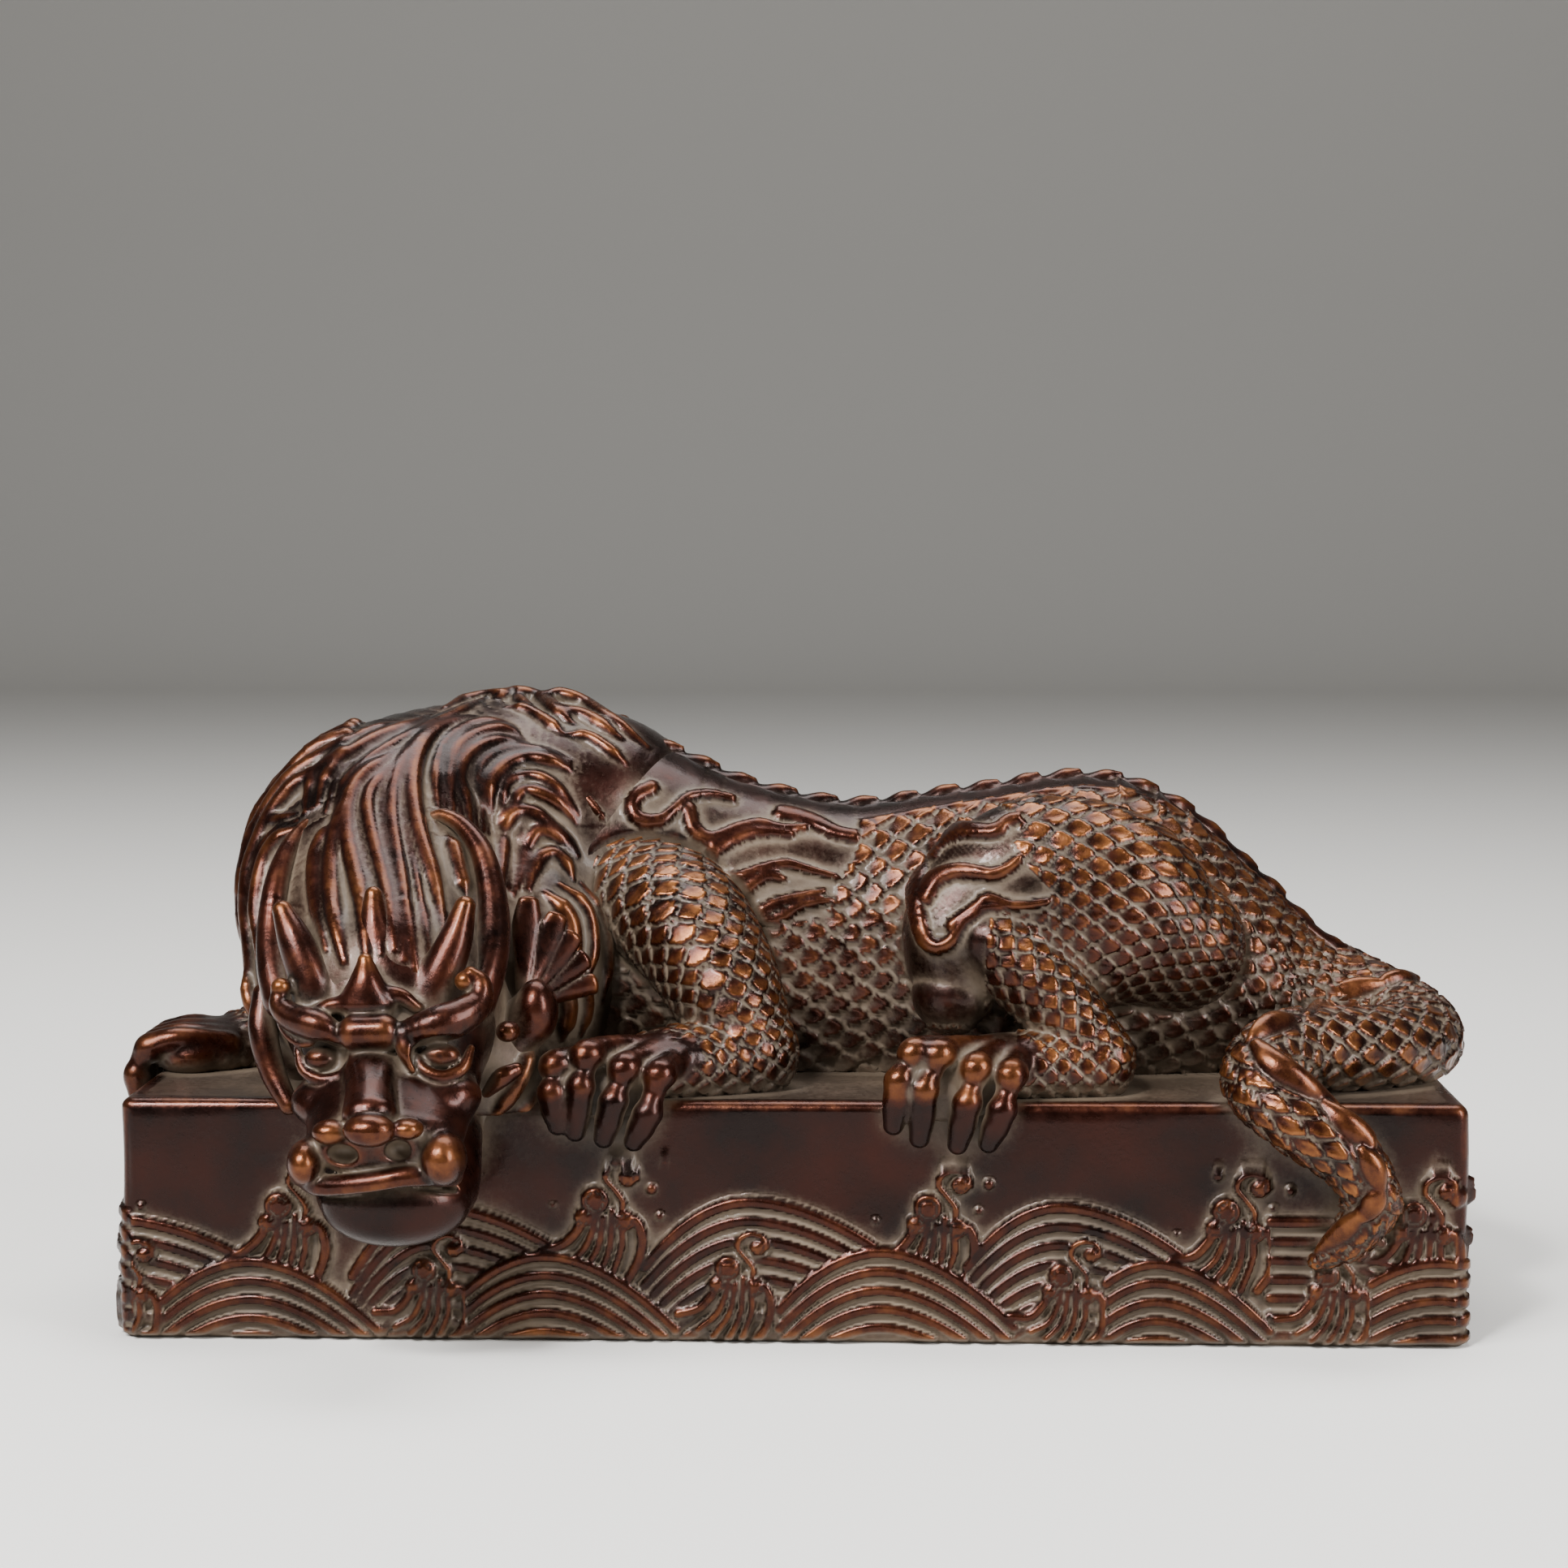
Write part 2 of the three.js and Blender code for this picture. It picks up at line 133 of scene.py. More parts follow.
def neighbours(faces, count):
    """The pairs of vertices that share an edge, as two index arrays, and how many each vertex has."""
    sides = faces.shape[1]
    pairs = np.concatenate([np.stack([faces[:, i], faces[:, (i + 1) % sides]], 1) for i in range(sides)])
    pairs = pairs[pairs[:, 0] != pairs[:, 1]]
    both = np.concatenate([pairs, pairs[:, ::-1]])
    return both[:, 0], both[:, 1], np.maximum(np.bincount(both[:, 0], minlength=count), 1)


def relax(values, graph, rounds):
    """Averages a value per vertex with its neighbours, `rounds` times."""
    here, there, number = graph
    for _ in range(rounds):
        if values.ndim == 1:
            mean = np.bincount(here, values[there], len(number)) / number
        else:
            mean = np.stack([np.bincount(here, values[there, k], len(number)) / number for k in range(3)], 1)
        values = 0.5 * values + 0.5 * mean
    return values


def cast(name, points, faces, wear_and_painted_light=0.0, dust_and_painted_shade=0.0, depth=0.3, plain=0, edges=0.35):
    """Makes one cast piece from points in mm and quads, with wear on what stands out and dust in what lies
    deep, measured against the surface smoothed over a millimetre or so. The wear and dust passed in also
    carry painted top light and painted shade for some pieces."""
    points = np.asarray(points, float)
    faces = np.asarray(faces)
    mesh = bpy.data.meshes.new(name)
    mesh.vertices.add(len(points))
    mesh.vertices.foreach_set("co", (points * 0.001).astype(np.float32).ravel())
    mesh.loops.add(faces.size)
    mesh.loops.foreach_set("vertex_index", faces.astype(np.int32).ravel())
    mesh.polygons.add(len(faces))
    mesh.polygons.foreach_set("loop_start", np.arange(0, faces.size, faces.shape[1], dtype=np.int32))
    mesh.update(calc_edges=True)
    mesh.polygons.foreach_set("use_smooth", np.ones(len(faces), bool))
    normals = np.empty(len(points) * 3, np.float32)
    mesh.vertices.foreach_get("normal", normals)
    normals = normals.reshape(-1, 3)
    graph = neighbours(faces, len(points))
    near = relax(points, graph, 4)
    far = relax(near, graph, 16)
    high = np.einsum("ij,ij->i", points - near, normals) * 1.6 + np.einsum("ij,ij->i", near - far, normals)
    high = np.tanh(high / depth)
    if plain:
        high[-plain:] = 0
    for key, value in (("wear_and_painted_light", np.clip(edges * high + wear_and_painted_light, 0, 1)),
                       ("dust_and_painted_shade", np.clip(-0.5 * high + dust_and_painted_shade, 0, 1))):
        layer = mesh.attributes.new(key, "FLOAT", "POINT")
        layer.data.foreach_set("value", np.broadcast_to(value, len(points)).astype(np.float32))
    mesh.materials.append(COPPER)
    piece = bpy.data.objects.new(name, mesh)
    bpy.context.collection.objects.link(piece)
    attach(piece, "root")
    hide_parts("guardian_beast_on_plinth")


def curve(points, count=24):
    """A smooth curve through a few points (Catmull-Rom), any number of columns."""
    points = np.asarray(points, float)
    padded = np.vstack([2 * points[0] - points[1], points, 2 * points[-1] - points[-2]])
    t = np.linspace(0, len(points) - 1 - 1e-9, count)
    i = t.astype(int)
    f = (t - i)[:, None]
    a, b, c, d = padded[i], padded[i + 1], padded[i + 2], padded[i + 3]
    return 0.5 * (2 * b + (c - a) * f + (2 * a - 5 * b + 4 * c - d) * f * f
                  + (3 * b - a - 3 * c + d) * f ** 3)


def off_line(x, z, line):
    """The distance of each point (x, z) from a line of points."""
    best = np.full(x.shape, 1e9)
    for p, q in zip(line[:-1], line[1:]):
        step = q - p
        share = np.clip(((x - p[0]) * step[0] + (z - p[1]) * step[1]) / max(step @ step, 1e-9), 0, 1)
        best = np.minimum(best, np.hypot(x - p[0] - share * step[0], z - p[1] - share * step[1]))
    return best


def rib(height, x, z, line, width, tall):
    """Lays one flat-topped rib along a line on a relief."""
    box = ((x > line[:, 0].min() - width) & (x < line[:, 0].max() + width)
           & (z > line[:, 1].min() - width) & (z < line[:, 1].max() + width))
    if box.any():
        d = off_line(x[box], z[box], line)
        height[box] = np.maximum(height[box], tall * np.sqrt(np.clip(1 - (d / width) ** 4, 0, 1)))


def swell(height, x, z, start, peak, trough, proud):
    """One swell: it hides what is behind it, and ribs lie under its outline, 2.4 mm apart."""
    pitch, count = 2.35, 7
    share = np.linspace(0, 1, 22)
    rise = np.stack([peak[0] + (start[0] - peak[0]) * share[::-1],
                     peak[1] + (start[1] - peak[1]) * share[::-1] ** 2], 1)
    fall = np.stack([peak[0] + (trough[0] - peak[0]) * share, peak[1] + (trough[1] - peak[1]) * share ** 1.8],
                    1)
    outline = np.vstack([rise, fall[1:]])
    top = np.interp(x, outline[:, 0], outline[:, 1], left=-9, right=-9)
    height[z < top + 0.5] = 0.2 * proud
    for k in range(count):
        line = outline - [0, k * pitch]
        line = line[line[:, 1] > 0.2]
        if len(line) > 2:
            rib(height, x, z, line, 0.82, proud * (1.0 if k == 0 else 0.9))


def splash(height, x, z, knob, foot, proud, big=1.0):
    """The crest of a wave: ribs fan up from the trough into round knobs, and one curls over as spray."""
    kx, kz = knob
    low = (foot - kz) / big
    place = lambda points: curve([[kx + a * big, kz + b * big] for a, b in points], 26)
    for width, *points in (
            (0.8, (-10.3, min(low + 3.6, -3)), (-7.6, -3.0), (-5.8, -1.2), (-5.1, 0.3)),
            (0.62, (-7.6, low + 1.6), (-5.2, -3.8), (-4.0, -1.4), (-3.6, 0.6)),
            (0.6, (-5.6, low + 0.6), (-3.4, -3.6), (-2.6, 0.4)),
            (0.6, (-3.6, low), (-1.9, -3.6), (-1.5, 1.2)),
            (0.6, (-1.8, low), (-0.4, -3.2), (-0.4, -0.6)),
            (0.78, (0, 0.3), (1.5, -0.2), (2.2, -2.6), (1.6, -5.2), (0.2, low)),
            (0.5, (-0.4, 1.0), (-0.2, 2.4), (-1.3, 4.0), (-2.3, 5.3), (-1.9, 6.6), (-0.4, 7.2), (1.2, 6.6),
             (1.5, 5.3))):
        rib(height, x, z, place(points), width * big, proud)
    for a, b, r in ((0, 0, 1.45), (-5.0, 0.4, 1.35), (-3.6, 2.5, 1.95), (0.4, 5.4, 1.3)):
        d = np.hypot(x - kx - a * big, z - kz - b * big) / (r * big)
        height[:] = np.maximum(height, (proud + 0.35) * np.clip(1 - d ** 4, 0, 1) ** 0.5)
        ring = (d > 0.5) & (d < 0.64)
        height[ring] = np.minimum(height[ring], proud)


def waves(x, z, upper, lower, drops):
    """The relief of one face: the upper row behind, the lower row in front, and drops of spray above."""
    height = np.zeros(x.shape)
    for drop_x, drop_z, r in drops:
        d = np.hypot(x - drop_x, z - drop_z) / r
        height = np.maximum(height, 0.9 * r * np.sqrt(np.clip(1 - d * d, 0, 1)))
    for start, peak, trough, knob in upper:
        swell(height, x, z, start, peak, trough, 1.0)
        splash(height, x, z, knob, max(trough[1] - 4, 0.5), 1.15)
    for start, peak, trough, knob in lower:
        swell(height, x, z, start, peak, trough, 1.35)
        splash(height, x, z, knob, 0.4, 1.5, 0.92)
    return height


def px(u, v):
    """A point of the front face, from the pixel where the photograph shows it."""
    x = (u - 151) * LENGTH / 1656 - LENGTH / 2
    return [x, (1648 + 13 * (u - 151) / 1656 - v) * TALL / 296]


FRONT_UPPER = [
    (px(100, 1480), px(140, 1500), px(305, 1549), px(385, 1508)),
    (px(440, 1570), px(540, 1486), px(688, 1537), px(776, 1502)),
    (px(800, 1560), px(929, 1480), px(1085, 1538), px(1184, 1512)),
    (px(1196, 1560), px(1310, 1487), px(1458, 1548), px(1548, 1517)),
    (px(1566, 1505), px(1640, 1506), px(1700, 1530), px(1775, 1521)),
]
FRONT_LOWER = [
    (px(60, 1600), px(90, 1590), px(130, 1640), px(178, 1592)),
    (px(205, 1600), px(314, 1552), px(470, 1636), px(562, 1585)),
    (px(580, 1590), px(678, 1546), px(838, 1636), px(936, 1583)),
    (px(966, 1612), px(1091, 1541), px(1253, 1633), px(1344, 1593)),
    (px(1366, 1580), px(1428, 1556), px(1565, 1638), px(1668, 1592)),
    (px(1688, 1580), px(1770, 1555), px(1830, 1566), px(1900, 1590)),
]
FRONT_DROPS = [px(*p) + [r] for *p, r in (
    (177, 1485, 0.6), (687, 1484, 0.45), (809, 1464, 0.8), (819, 1498, 0.6), (825, 1433, 0.6),
                                          (1084, 1504, 0.5),
    (1210, 1492, 0.6), (1222, 1459, 0.8), (1452, 1521, 0.5), (1502, 1449, 0.8), (1569, 1490, 0.6),
    (1590, 1468, 0.7), (1762, 1500, 1.2), (1791, 1476, 1.4), (1750, 1519, 0.9), (1727, 1528, 0.5))]


def spare_rows(length):
    """The same waves on a face that the photograph hides, a period apart."""
    period = 38.5
    upper, lower = [], []
    for n in range(-1, int(length / period) + 2):
        a = -length / 2 + n * period + 4
        upper.append(([a, 9], [a + 13, 16.6], [a + 27, 11], [a + 35.5, 13.6]))
        b = a - 0.5 * period
        lower.append(([b, 5], [b + 11, 9.8], [b + 26, 1.4], [b + 35, 6.2]))
    return upper, lower, []


# the skin of the block: rings of points round it, from the underside's edge up the faces and over the top;
# the step between points is finest on the face that the photograph shows
corner = 1.6
WAVES_TOP = 21.5
sides = []
for index, (length, other, step) in enumerate(
        ((LENGTH, DEPTH, 0.3), (DEPTH, LENGTH, 0.56), (LENGTH, DEPTH, 0.76), (DEPTH, LENGTH, 0.56))):
    along = np.linspace(-length / 2 + corner, length / 2 - corner, int(length / step))
    turn = index * pi / 2
    for a in along:
        sides.append((a, -other / 2, cos(turn), sin(turn), 0.0, index))
    for bend in np.linspace(0, pi / 2, 7)[1:-1]:
        sides.append((length / 2 - corner + corner * sin(bend), -other / 2 + corner - corner * cos(bend),
                      cos(turn), sin(turn), bend, index))
sides = np.array(sides)
a, b, ct, st, bend, which = sides.T
ring = np.stack([a * ct - b * st, a * st + b * ct], 1)
angle = np.arctan2(st, ct) - pi / 2 + bend
outward = np.stack([np.cos(angle), np.sin(angle)], 1)
levels = np.concatenate([[0, 0.25, 0.6], np.linspace(0.9, WAVES_TOP, 68),
                         np.linspace(WAVES_TOP + 1, TALL - EDGE, 6)])
grid_a, grid_z = np.meshgrid(a, levels)
relief = np.zeros(grid_a.shape)
for index, length in enumerate((LENGTH, DEPTH, LENGTH, DEPTH)):
    part = which == index
    rows = (FRONT_UPPER, FRONT_LOWER, FRONT_DROPS) if index == 0 else spare_rows(length)
    relief[:, part] = waves(grid_a[:, part], grid_z[:, part], *rows)
carved = np.clip((relief - 0.1) * 10, 0, 1) * np.clip((0.8 - relief) / 0.4, 0, 1)
fade = np.clip(grid_z / 0.9, 0, 1) * np.where(bend > 0, 0.55, 1.0) * np.where(which % 2, 0.65, 1.0)
relief *= fade
relief -= 0.6 * np.clip(1 - grid_z / 0.6, 0, 1)
# the faces are a little hollow and uneven from hand finishing
relief += 0.22 * np.sin(grid_a * 0.11 + 1.0 + which) * np.sin(grid_z * 0.21)
rings = [np.column_stack([ring + outward * relief[i][:, None], np.full(len(ring), levels[i])])
         for i in range(len(levels))]
for share in np.linspace(0, pi / 2, 6)[1:]:
    rings.append(np.column_stack([ring - outward * EDGE * (1 - cos(share)),
                                  np.full(len(ring), TALL - EDGE + EDGE * sin(share))]))
for inset in (2.5, 6.0, 14.0, 29.0):
    half = np.array([LENGTH, DEPTH]) / 2
    rings.append(np.column_stack([ring * (half - inset) / half, np.full(len(ring), TALL)]))
count = len(ring)
quads = []
for i in range(len(rings) - 1):
    here = i * count + np.arange(count)
    there = i * count + (np.arange(count) + 1) % count
    quads.append(np.stack([here, there, there + count, here + count], 1))
last = (len(rings) - 1) * count
half_way = count // 2
strip = np.arange(half_way - 1)
quads.append(np.stack([last + strip, last + strip + 1, last + count - 2 - strip, last + count - 1 - strip],
                      1))
quads.append(np.stack([strip, count - 1 - strip, count - 2 - strip, strip + 1], 1))
# hands rub the corners and the top edge; dust lies on the top
rubbed = 0.22 * np.clip(relief / 1.2, 0, 1) * (grid_z < 21) + 0.2 * np.sin(2 * bend) ** 2
settled_in = np.concatenate([(0.55 * carved).ravel(), np.zeros(5 * count), np.full(4 * count, 0.42)])
proud_of = np.concatenate([rubbed.ravel(), np.full(5 * count, 0.13), np.zeros(4 * count)])
cast("plinth", np.vstack(rings), np.vstack(quads), wear_and_painted_light=proud_of, dust_and_painted_shade=settled_in, depth=0.45, edges=0.3,
     plain=4 * count)

# Torso
# The long barrel of the body, sunk into the plinth's top, with the smooth strip under the ridge, flames on
# the shoulder and fish scales on the flank. It was modelled in wax and cast; here it is built as a swelling
# tube that scales and flames are raised on.

# where the photograph was taken from, fitted to the plinth's corners: place in mm, angles, focal length and
# middle of the picture in pixels
EYE = np.array([12.0, -424.99, 100.0])
YAW, PITCH, FOCAL, MIDDLE = radians(1.853), radians(4.468), 4000.0, 966
AHEAD = np.array([-sin(YAW) * cos(PITCH), cos(YAW) * cos(PITCH), -sin(PITCH)])
RIGHT = np.array([cos(YAW), sin(YAW), 0.0])
UP = np.cross(RIGHT, AHEAD)


def spot(u, v, y):
    """The point that lies at depth y on the sight line of a pixel of the photograph."""
    u, v, y = np.broadcast_arrays(*(np.asarray(c, float)[..., None] for c in (u, v, y)))
    ray = AHEAD + RIGHT * (u - MIDDLE) / FOCAL - UP * (v - MIDDLE) / FOCAL
    return EYE + ray * (y - EYE[1]) / ray[..., 1:2]


def pixel(points):
    """Where the photograph shows each point."""
    rel = points - EYE
    z = rel @ AHEAD
    return MIDDLE + FOCAL * (rel @ RIGHT) / z, MIDDLE - FOCAL * (rel @ UP) / z


def tube(stations, up=(0, 0, 1), count=44):
    """An oval tube through stations [x, y, z, half width, half height]. It gives a function from points to
    their distance outside it, their length along it and their angle round it, 0 at the top."""
    stations = np.array([list(s) + [s[3]] * (5 - len(s)) for s in stations], float)
    line = curve(stations, count)
    centre, width, height = line[:, :3], np.abs(line[:, 3]), np.abs(line[:, 4])
    way = np.gradient(centre, axis=0)
    way /= np.linalg.norm(way, axis=1)[:, None]
    side = np.cross(way, up)
    side /= np.linalg.norm(side, axis=1)[:, None]
    rise = np.cross(side, way)
    run = np.concatenate([[0], np.cumsum(np.linalg.norm(np.diff(centre, axis=0), axis=1))])
    gap = run[-1] / (count - 1)
    widen = np.gradient(width) / gap
    heighten = np.gradient(height) / gap
    square = (centre ** 2).sum(1)
    reach = np.maximum(width, height)[:, None]
    floor, ceiling = (centre - reach).min(0), (centre + reach).max(0)

    def measure(points):
        out = np.zeros((3, len(points)))
        apart = np.linalg.norm(np.maximum(0, np.maximum(floor - points, points - ceiling)), axis=1)
        out[0] = apart
        close = np.flatnonzero(apart < 3)
        for first in range(0, len(close), 100000):
            part = close[first:first + 100000]
            p = points[part]
            i = np.argmin(square - 2 * p @ centre.T, axis=1)
            rel = p - centre[i]
            along = np.einsum("ij,ij->i", rel, way[i])
            low = np.where(i == 0, -1e3, -gap)
            high = np.where(i == count - 1, 1e3, gap)
            within = np.clip(along, np.where(i == 0, 0, -gap), np.where(i == count - 1, 0, gap))
            w = np.maximum(width[i] + widen[i] * within, 0.2)
            h = np.maximum(height[i] + heighten[i] * within, 0.2)
            over = np.clip(along, low, high) - within
            a = np.einsum("ij,ij->i", rel, side[i])
            b = np.einsum("ij,ij->i", rel, rise[i])
            e = np.sqrt((a / w) ** 2 + (b / h) ** 2 + (over / np.minimum(w, h)) ** 2) + 1e-9
            r = np.sqrt(a * a + b * b + over * over)
            out[0, part] = np.where(e < 0.3, -0.7 * np.minimum(w, h), r * (1 - 1 / e))
            out[1, part] = run[i] + along
            out[2, part] = np.arctan2(a, b)
        return out
    return measure


def ball(centre, radii):
    """A distance to an ellipsoid."""
    centre, radii = np.array(centre, float), np.array(radii, float)

    def measure(points):
        q = points - centre
        out = np.linalg.norm(np.maximum(0, np.abs(q) - radii), axis=1)
        close = out < 3
        q = q[close] / radii
        k = np.linalg.norm(q, axis=1) + 1e-9
        out[close] = k * (k - 1) / (np.linalg.norm(q / radii, axis=1) + 1e-9)
        return out[None]
    return measure


def joined(parts, k=0.8):
    """The form of many parts melted together; a part may come with its own fillet."""
    parts = [part if isinstance(part, tuple) else (part, k) for part in parts]

    def form(points):
        d = parts[0][0](points)[0]
        for part, fillet in parts[1:]:
            d = melt(d, part(points)[0], fillet)
        return d
    return form


def melt(a, b, k):
    """Joins two distances with a fillet about k mm wide."""
    h = np.clip(0.5 + 0.5 * (b - a) / k, 0, 1)
    return b + (a - b) * h - k * h * (1 - h)


def carve(a, b, k):
    """Cuts b out of a with a softened edge."""
    return -melt(-a, b, k)


def sculpt(form, low, high, step):
    """The surface where form(points) is zero, as points and quads on a grid of that step."""
    low, high = np.array(low, float), np.array(high, float)
    blocks = np.ceil((high - low) / (4 * step)).astype(int)
    centres = low + (np.indices(blocks).reshape(3, -1).T + 0.5) * 4 * step
    rough = form(centres)
    field = np.sign(rough).reshape(blocks).astype(np.float32) * 4
    for axis in range(3):
        field = np.repeat(field, 4, axis)
    near = np.argwhere(np.abs(rough).reshape(blocks) < 5.5 * step) * 4
    cells = (near[:, None] + np.indices((4, 4, 4)).reshape(3, -1).T).reshape(-1, 3)
    field[tuple(cells.T)] = form(low + cells * step)
    inner = field < 0
    corners = np.indices((2, 2, 2)).reshape(3, -1).T
    size = np.array(field.shape) - 1
    shifted = [inner[c[0]:c[0] + size[0], c[1]:c[1] + size[1], c[2]:c[2] + size[2]] for c in corners]
    full = np.sum(shifted, axis=0)
    active = (full > 0) & (full < 8)
    cell = np.argwhere(active)
    number = np.full(size, -1)
    number[tuple(cell.T)] = np.arange(len(cell))
    total, crossings = np.zeros((len(cell), 3)), np.zeros(len(cell))
    for c in corners:
        for axis in range(3):
            if c[axis]:
                continue
            d = c.copy()
            d[axis] = 1
            va, vb = field[tuple((cell + c).T)], field[tuple((cell + d).T)]
            cross = (va < 0) != (vb < 0)
            t = np.where(cross, va / np.where(cross, va - vb, 1), 0)
            total += np.where(cross[:, None], c + (d - c) * t[:, None], 0)
            crossings += cross
    points = low + (cell + total / crossings[:, None]) * step
    quads = []
    for axis in range(3):
        b, c = (axis + 1) % 3, (axis + 2) % 3
        first = [slice(None)] * 3
        second = [slice(None)] * 3
        first[axis], second[axis] = slice(0, -1), slice(1, None)
        change = inner[tuple(first)] != inner[tuple(second)]
        at = np.argwhere(change)
        at = at[(at[:, b] > 0) & (at[:, c] > 0) & (at[:, b] < size[b]) & (at[:, c] < size[c])]
        around = []
        for db, dc in ((1, 1), (0, 1), (0, 0), (1, 0)):
            q = at.copy()
            q[:, b] -= db
            q[:, c] -= dc
            around.append(number[tuple(q.T)])
        quad = np.stack(around, 1)
        flip = ~inner[tuple(at.T)]
        quad[flip] = quad[flip][:, ::-1]
        quads.append(quad[(quad >= 0).all(1)])
    quads = np.vstack(quads)
    value, slope = form(points), gradient(form, points, step * 0.5)
    shift = np.clip(value / np.maximum((slope ** 2).sum(1), 0.3), -step, step)
    return points - slope * shift[:, None], quads


def gradient(form, points, h):
    """The direction in which a form's distance grows."""
    return np.stack([(form(points + h * way) - form(points - h * way)) / (2 * h) for way in np.eye(3)], 1)


def scales(u, v, row, wide, tall, point=2.0, gap=1.0):
    """Overlapping scales with free edges towards greater u: their height, the worn face of each and the
    gap beside its edge where dust lies. `point` under 2 makes their ends more pointed."""
    best = np.full(u.shape, 9.0)
    under = np.full(u.shape, 9.0)
    start = np.floor(u / row)
    for k in range(-1, 5):
        j = start + k
        middle = (v / wide + 0.5 * (j % 2)) % 1.0 - 0.5
        q = (j * row - u) / row - np.abs(2 * middle) ** point
        best = np.where((q >= 0) & (q < best), q, best)
        under = np.where((q < 0) & (-q < under), -q, under)
    best = np.clip(best, 0, 2)
    free, covered = np.clip(best / 0.22, 0, 1), np.clip(under / (0.4 * gap), 0, 1)
    height = tall * (np.sqrt(free * (2 - free)) * (0.45 + 0.55 * covered) * (1 - 0.5 * best) - 0.3)
    face = free * covered * np.clip(1.5 - 0.7 * best, 0, 1)
    return height, face, np.clip(1.15 - covered - 0.5 * free, 0, 1)


def inside(u, v, outline):
    """Which points lie inside an outline."""
    hit = np.zeros(u.shape, bool)
    for (ax, ay), (bx, by) in zip(outline, outline[1:] + outline[:1]):
        crosses = (ay > v) != (by > v)
        hit ^= crosses & (u < (bx - ax) * (v - ay) / (by - ay + 1e-9) + ax)
    return hit


def tongues(height, u, v, lines, wide=11, tall=0.9):
    """Raises flame tongues along lines of pixels: full where they start and fine at their tips."""
    for line in lines:
        line = curve(line, 22)
        box = ((u > line[:, 0].min() - wide) & (u < line[:, 0].max() + wide)
               & (v > line[:, 1].min() - wide) & (v < line[:, 1].max() + wide))
        if not box.any():
            continue
        for i, (p, q) in enumerate(zip(line[:-1], line[1:])):
            w = wide * (1 - 0.65 * (i / len(line)) ** 2)
            d = off_line(u[box], v[box], np.array([p, q])) / w
            height[box] = np.maximum(height[box], tall * np.clip(1 - d ** 2.6, 0, 1) ** 0.6)
    return height


TOP = TALL
torso = tube([
    [-46, 5, 18 + TOP, 11, 17], [-36, 6, 17.6 + TOP, 17, 27], [-24, 5, 16 + TOP, 17.5, 26.4],
    [-10, 4, 13.8 + TOP, 16, 23.2], [7, 4, 12.7 + TOP, 15, 21.2], [24, 4, 14 + TOP, 16.5, 21.8],
    [40, 5, 14 + TOP, 18.5, 23.2], [54, 6, 10.3 + TOP, 17, 16.8], [65, 6, 6.8 + TOP, 13.5, 11.2],
    [75, 4, 4.8 + TOP, 9, 7.6]])
THIGH = [[49, 9, 17 + TOP, 8.5, 8.5], [41, 11, 21 + TOP, 10, 13], [30, 12.5, 21.5 + TOP, 9.8, 14.2],
         [22, 15, 17.5 + TOP, 7.8, 10], [20, 17.5, 11.5 + TOP, 5.2, 4.8]]
UPPER_ARM = [[-20, -4, 23 + TOP, 8, 9.5], [-14, -12, 19.5 + TOP, 8, 9], [-9, -17, 12.5 + TOP, 7, 8],
             [-6, -20, 5.5 + TOP, 6, 6]]


def torso_form(p):
    """The torso, cut off inside the plinth."""
    return np.maximum(torso(p)[0], TOP - 1.5 - p[:, 2])


# the smooth strap of flames that crosses from the body onto each thigh, as the photograph shows it
STRAP = [(1080, 960), (1225, 990), (1262, 1005), (1250, 1040), (1262, 1062), (1296, 1100),
         (1290, 1122), (1222, 1128), (1216, 1160), (1212, 1262), (1080, 1262)]
STRAP_FLAMES = [
    [(1199, 993), (1159, 1012), (1136, 1050), (1130, 1106), (1138, 1150), (1153, 1166), (1172, 1160),
     (1186, 1139), (1199, 1122), (1232, 1119), (1294, 1110)],
    [(1146, 1050), (1159, 1034), (1186, 1025), (1225, 1026), (1245, 1013), (1276, 1008)],
    [(1140, 1106), (1156, 1083), (1186, 1074), (1225, 1078), (1252, 1063), (1266, 1048)],
    [(1176, 1142), (1206, 1119), (1219, 1109), (1245, 1116), (1292, 1112)]]
points, quads = sculpt(torso_form, (-42, -17, 27), (84, 28, 78), 0.46)
normal = gradient(torso_form, points, 0.3)
_, along, angle = torso(points)
girth = np.abs(angle) * 19.0
near = points[:, 1] < 8
mirror = points * [1, -1, 1] + [0, 8, 0]
fu, fv = pixel(np.where(near[:, None], points, mirror))
h, face, gap = scales(along + 0.18 * girth, girth, 2.6, 3.8, 1.0, 2.0, 0.7)
edge = 6.4 + 1.2 * np.sin(along * 0.06)
shoulder = inside(fu, fv, [(640, 900), (1060, 940), (1060, 1040), (1035, 1090), (1015, 1130), (930, 1140),
                           (900, 1190), (640, 1200)])
limbs = joined([tube(THIGH), tube([[x, -y, *rest] for x, y, *rest in THIGH]), tube(UPPER_ARM, up=(0, 1, 0))])
covered = limbs(points)
strap = inside(fu, fv, STRAP) & (covered < 1.5)
plain = (girth < edge - 0.4) | shoulder | strap
border = ~shoulder * 0.5 * np.sqrt(np.clip(1 - ((girth - edge) / 0.7) ** 2, 0, 1))
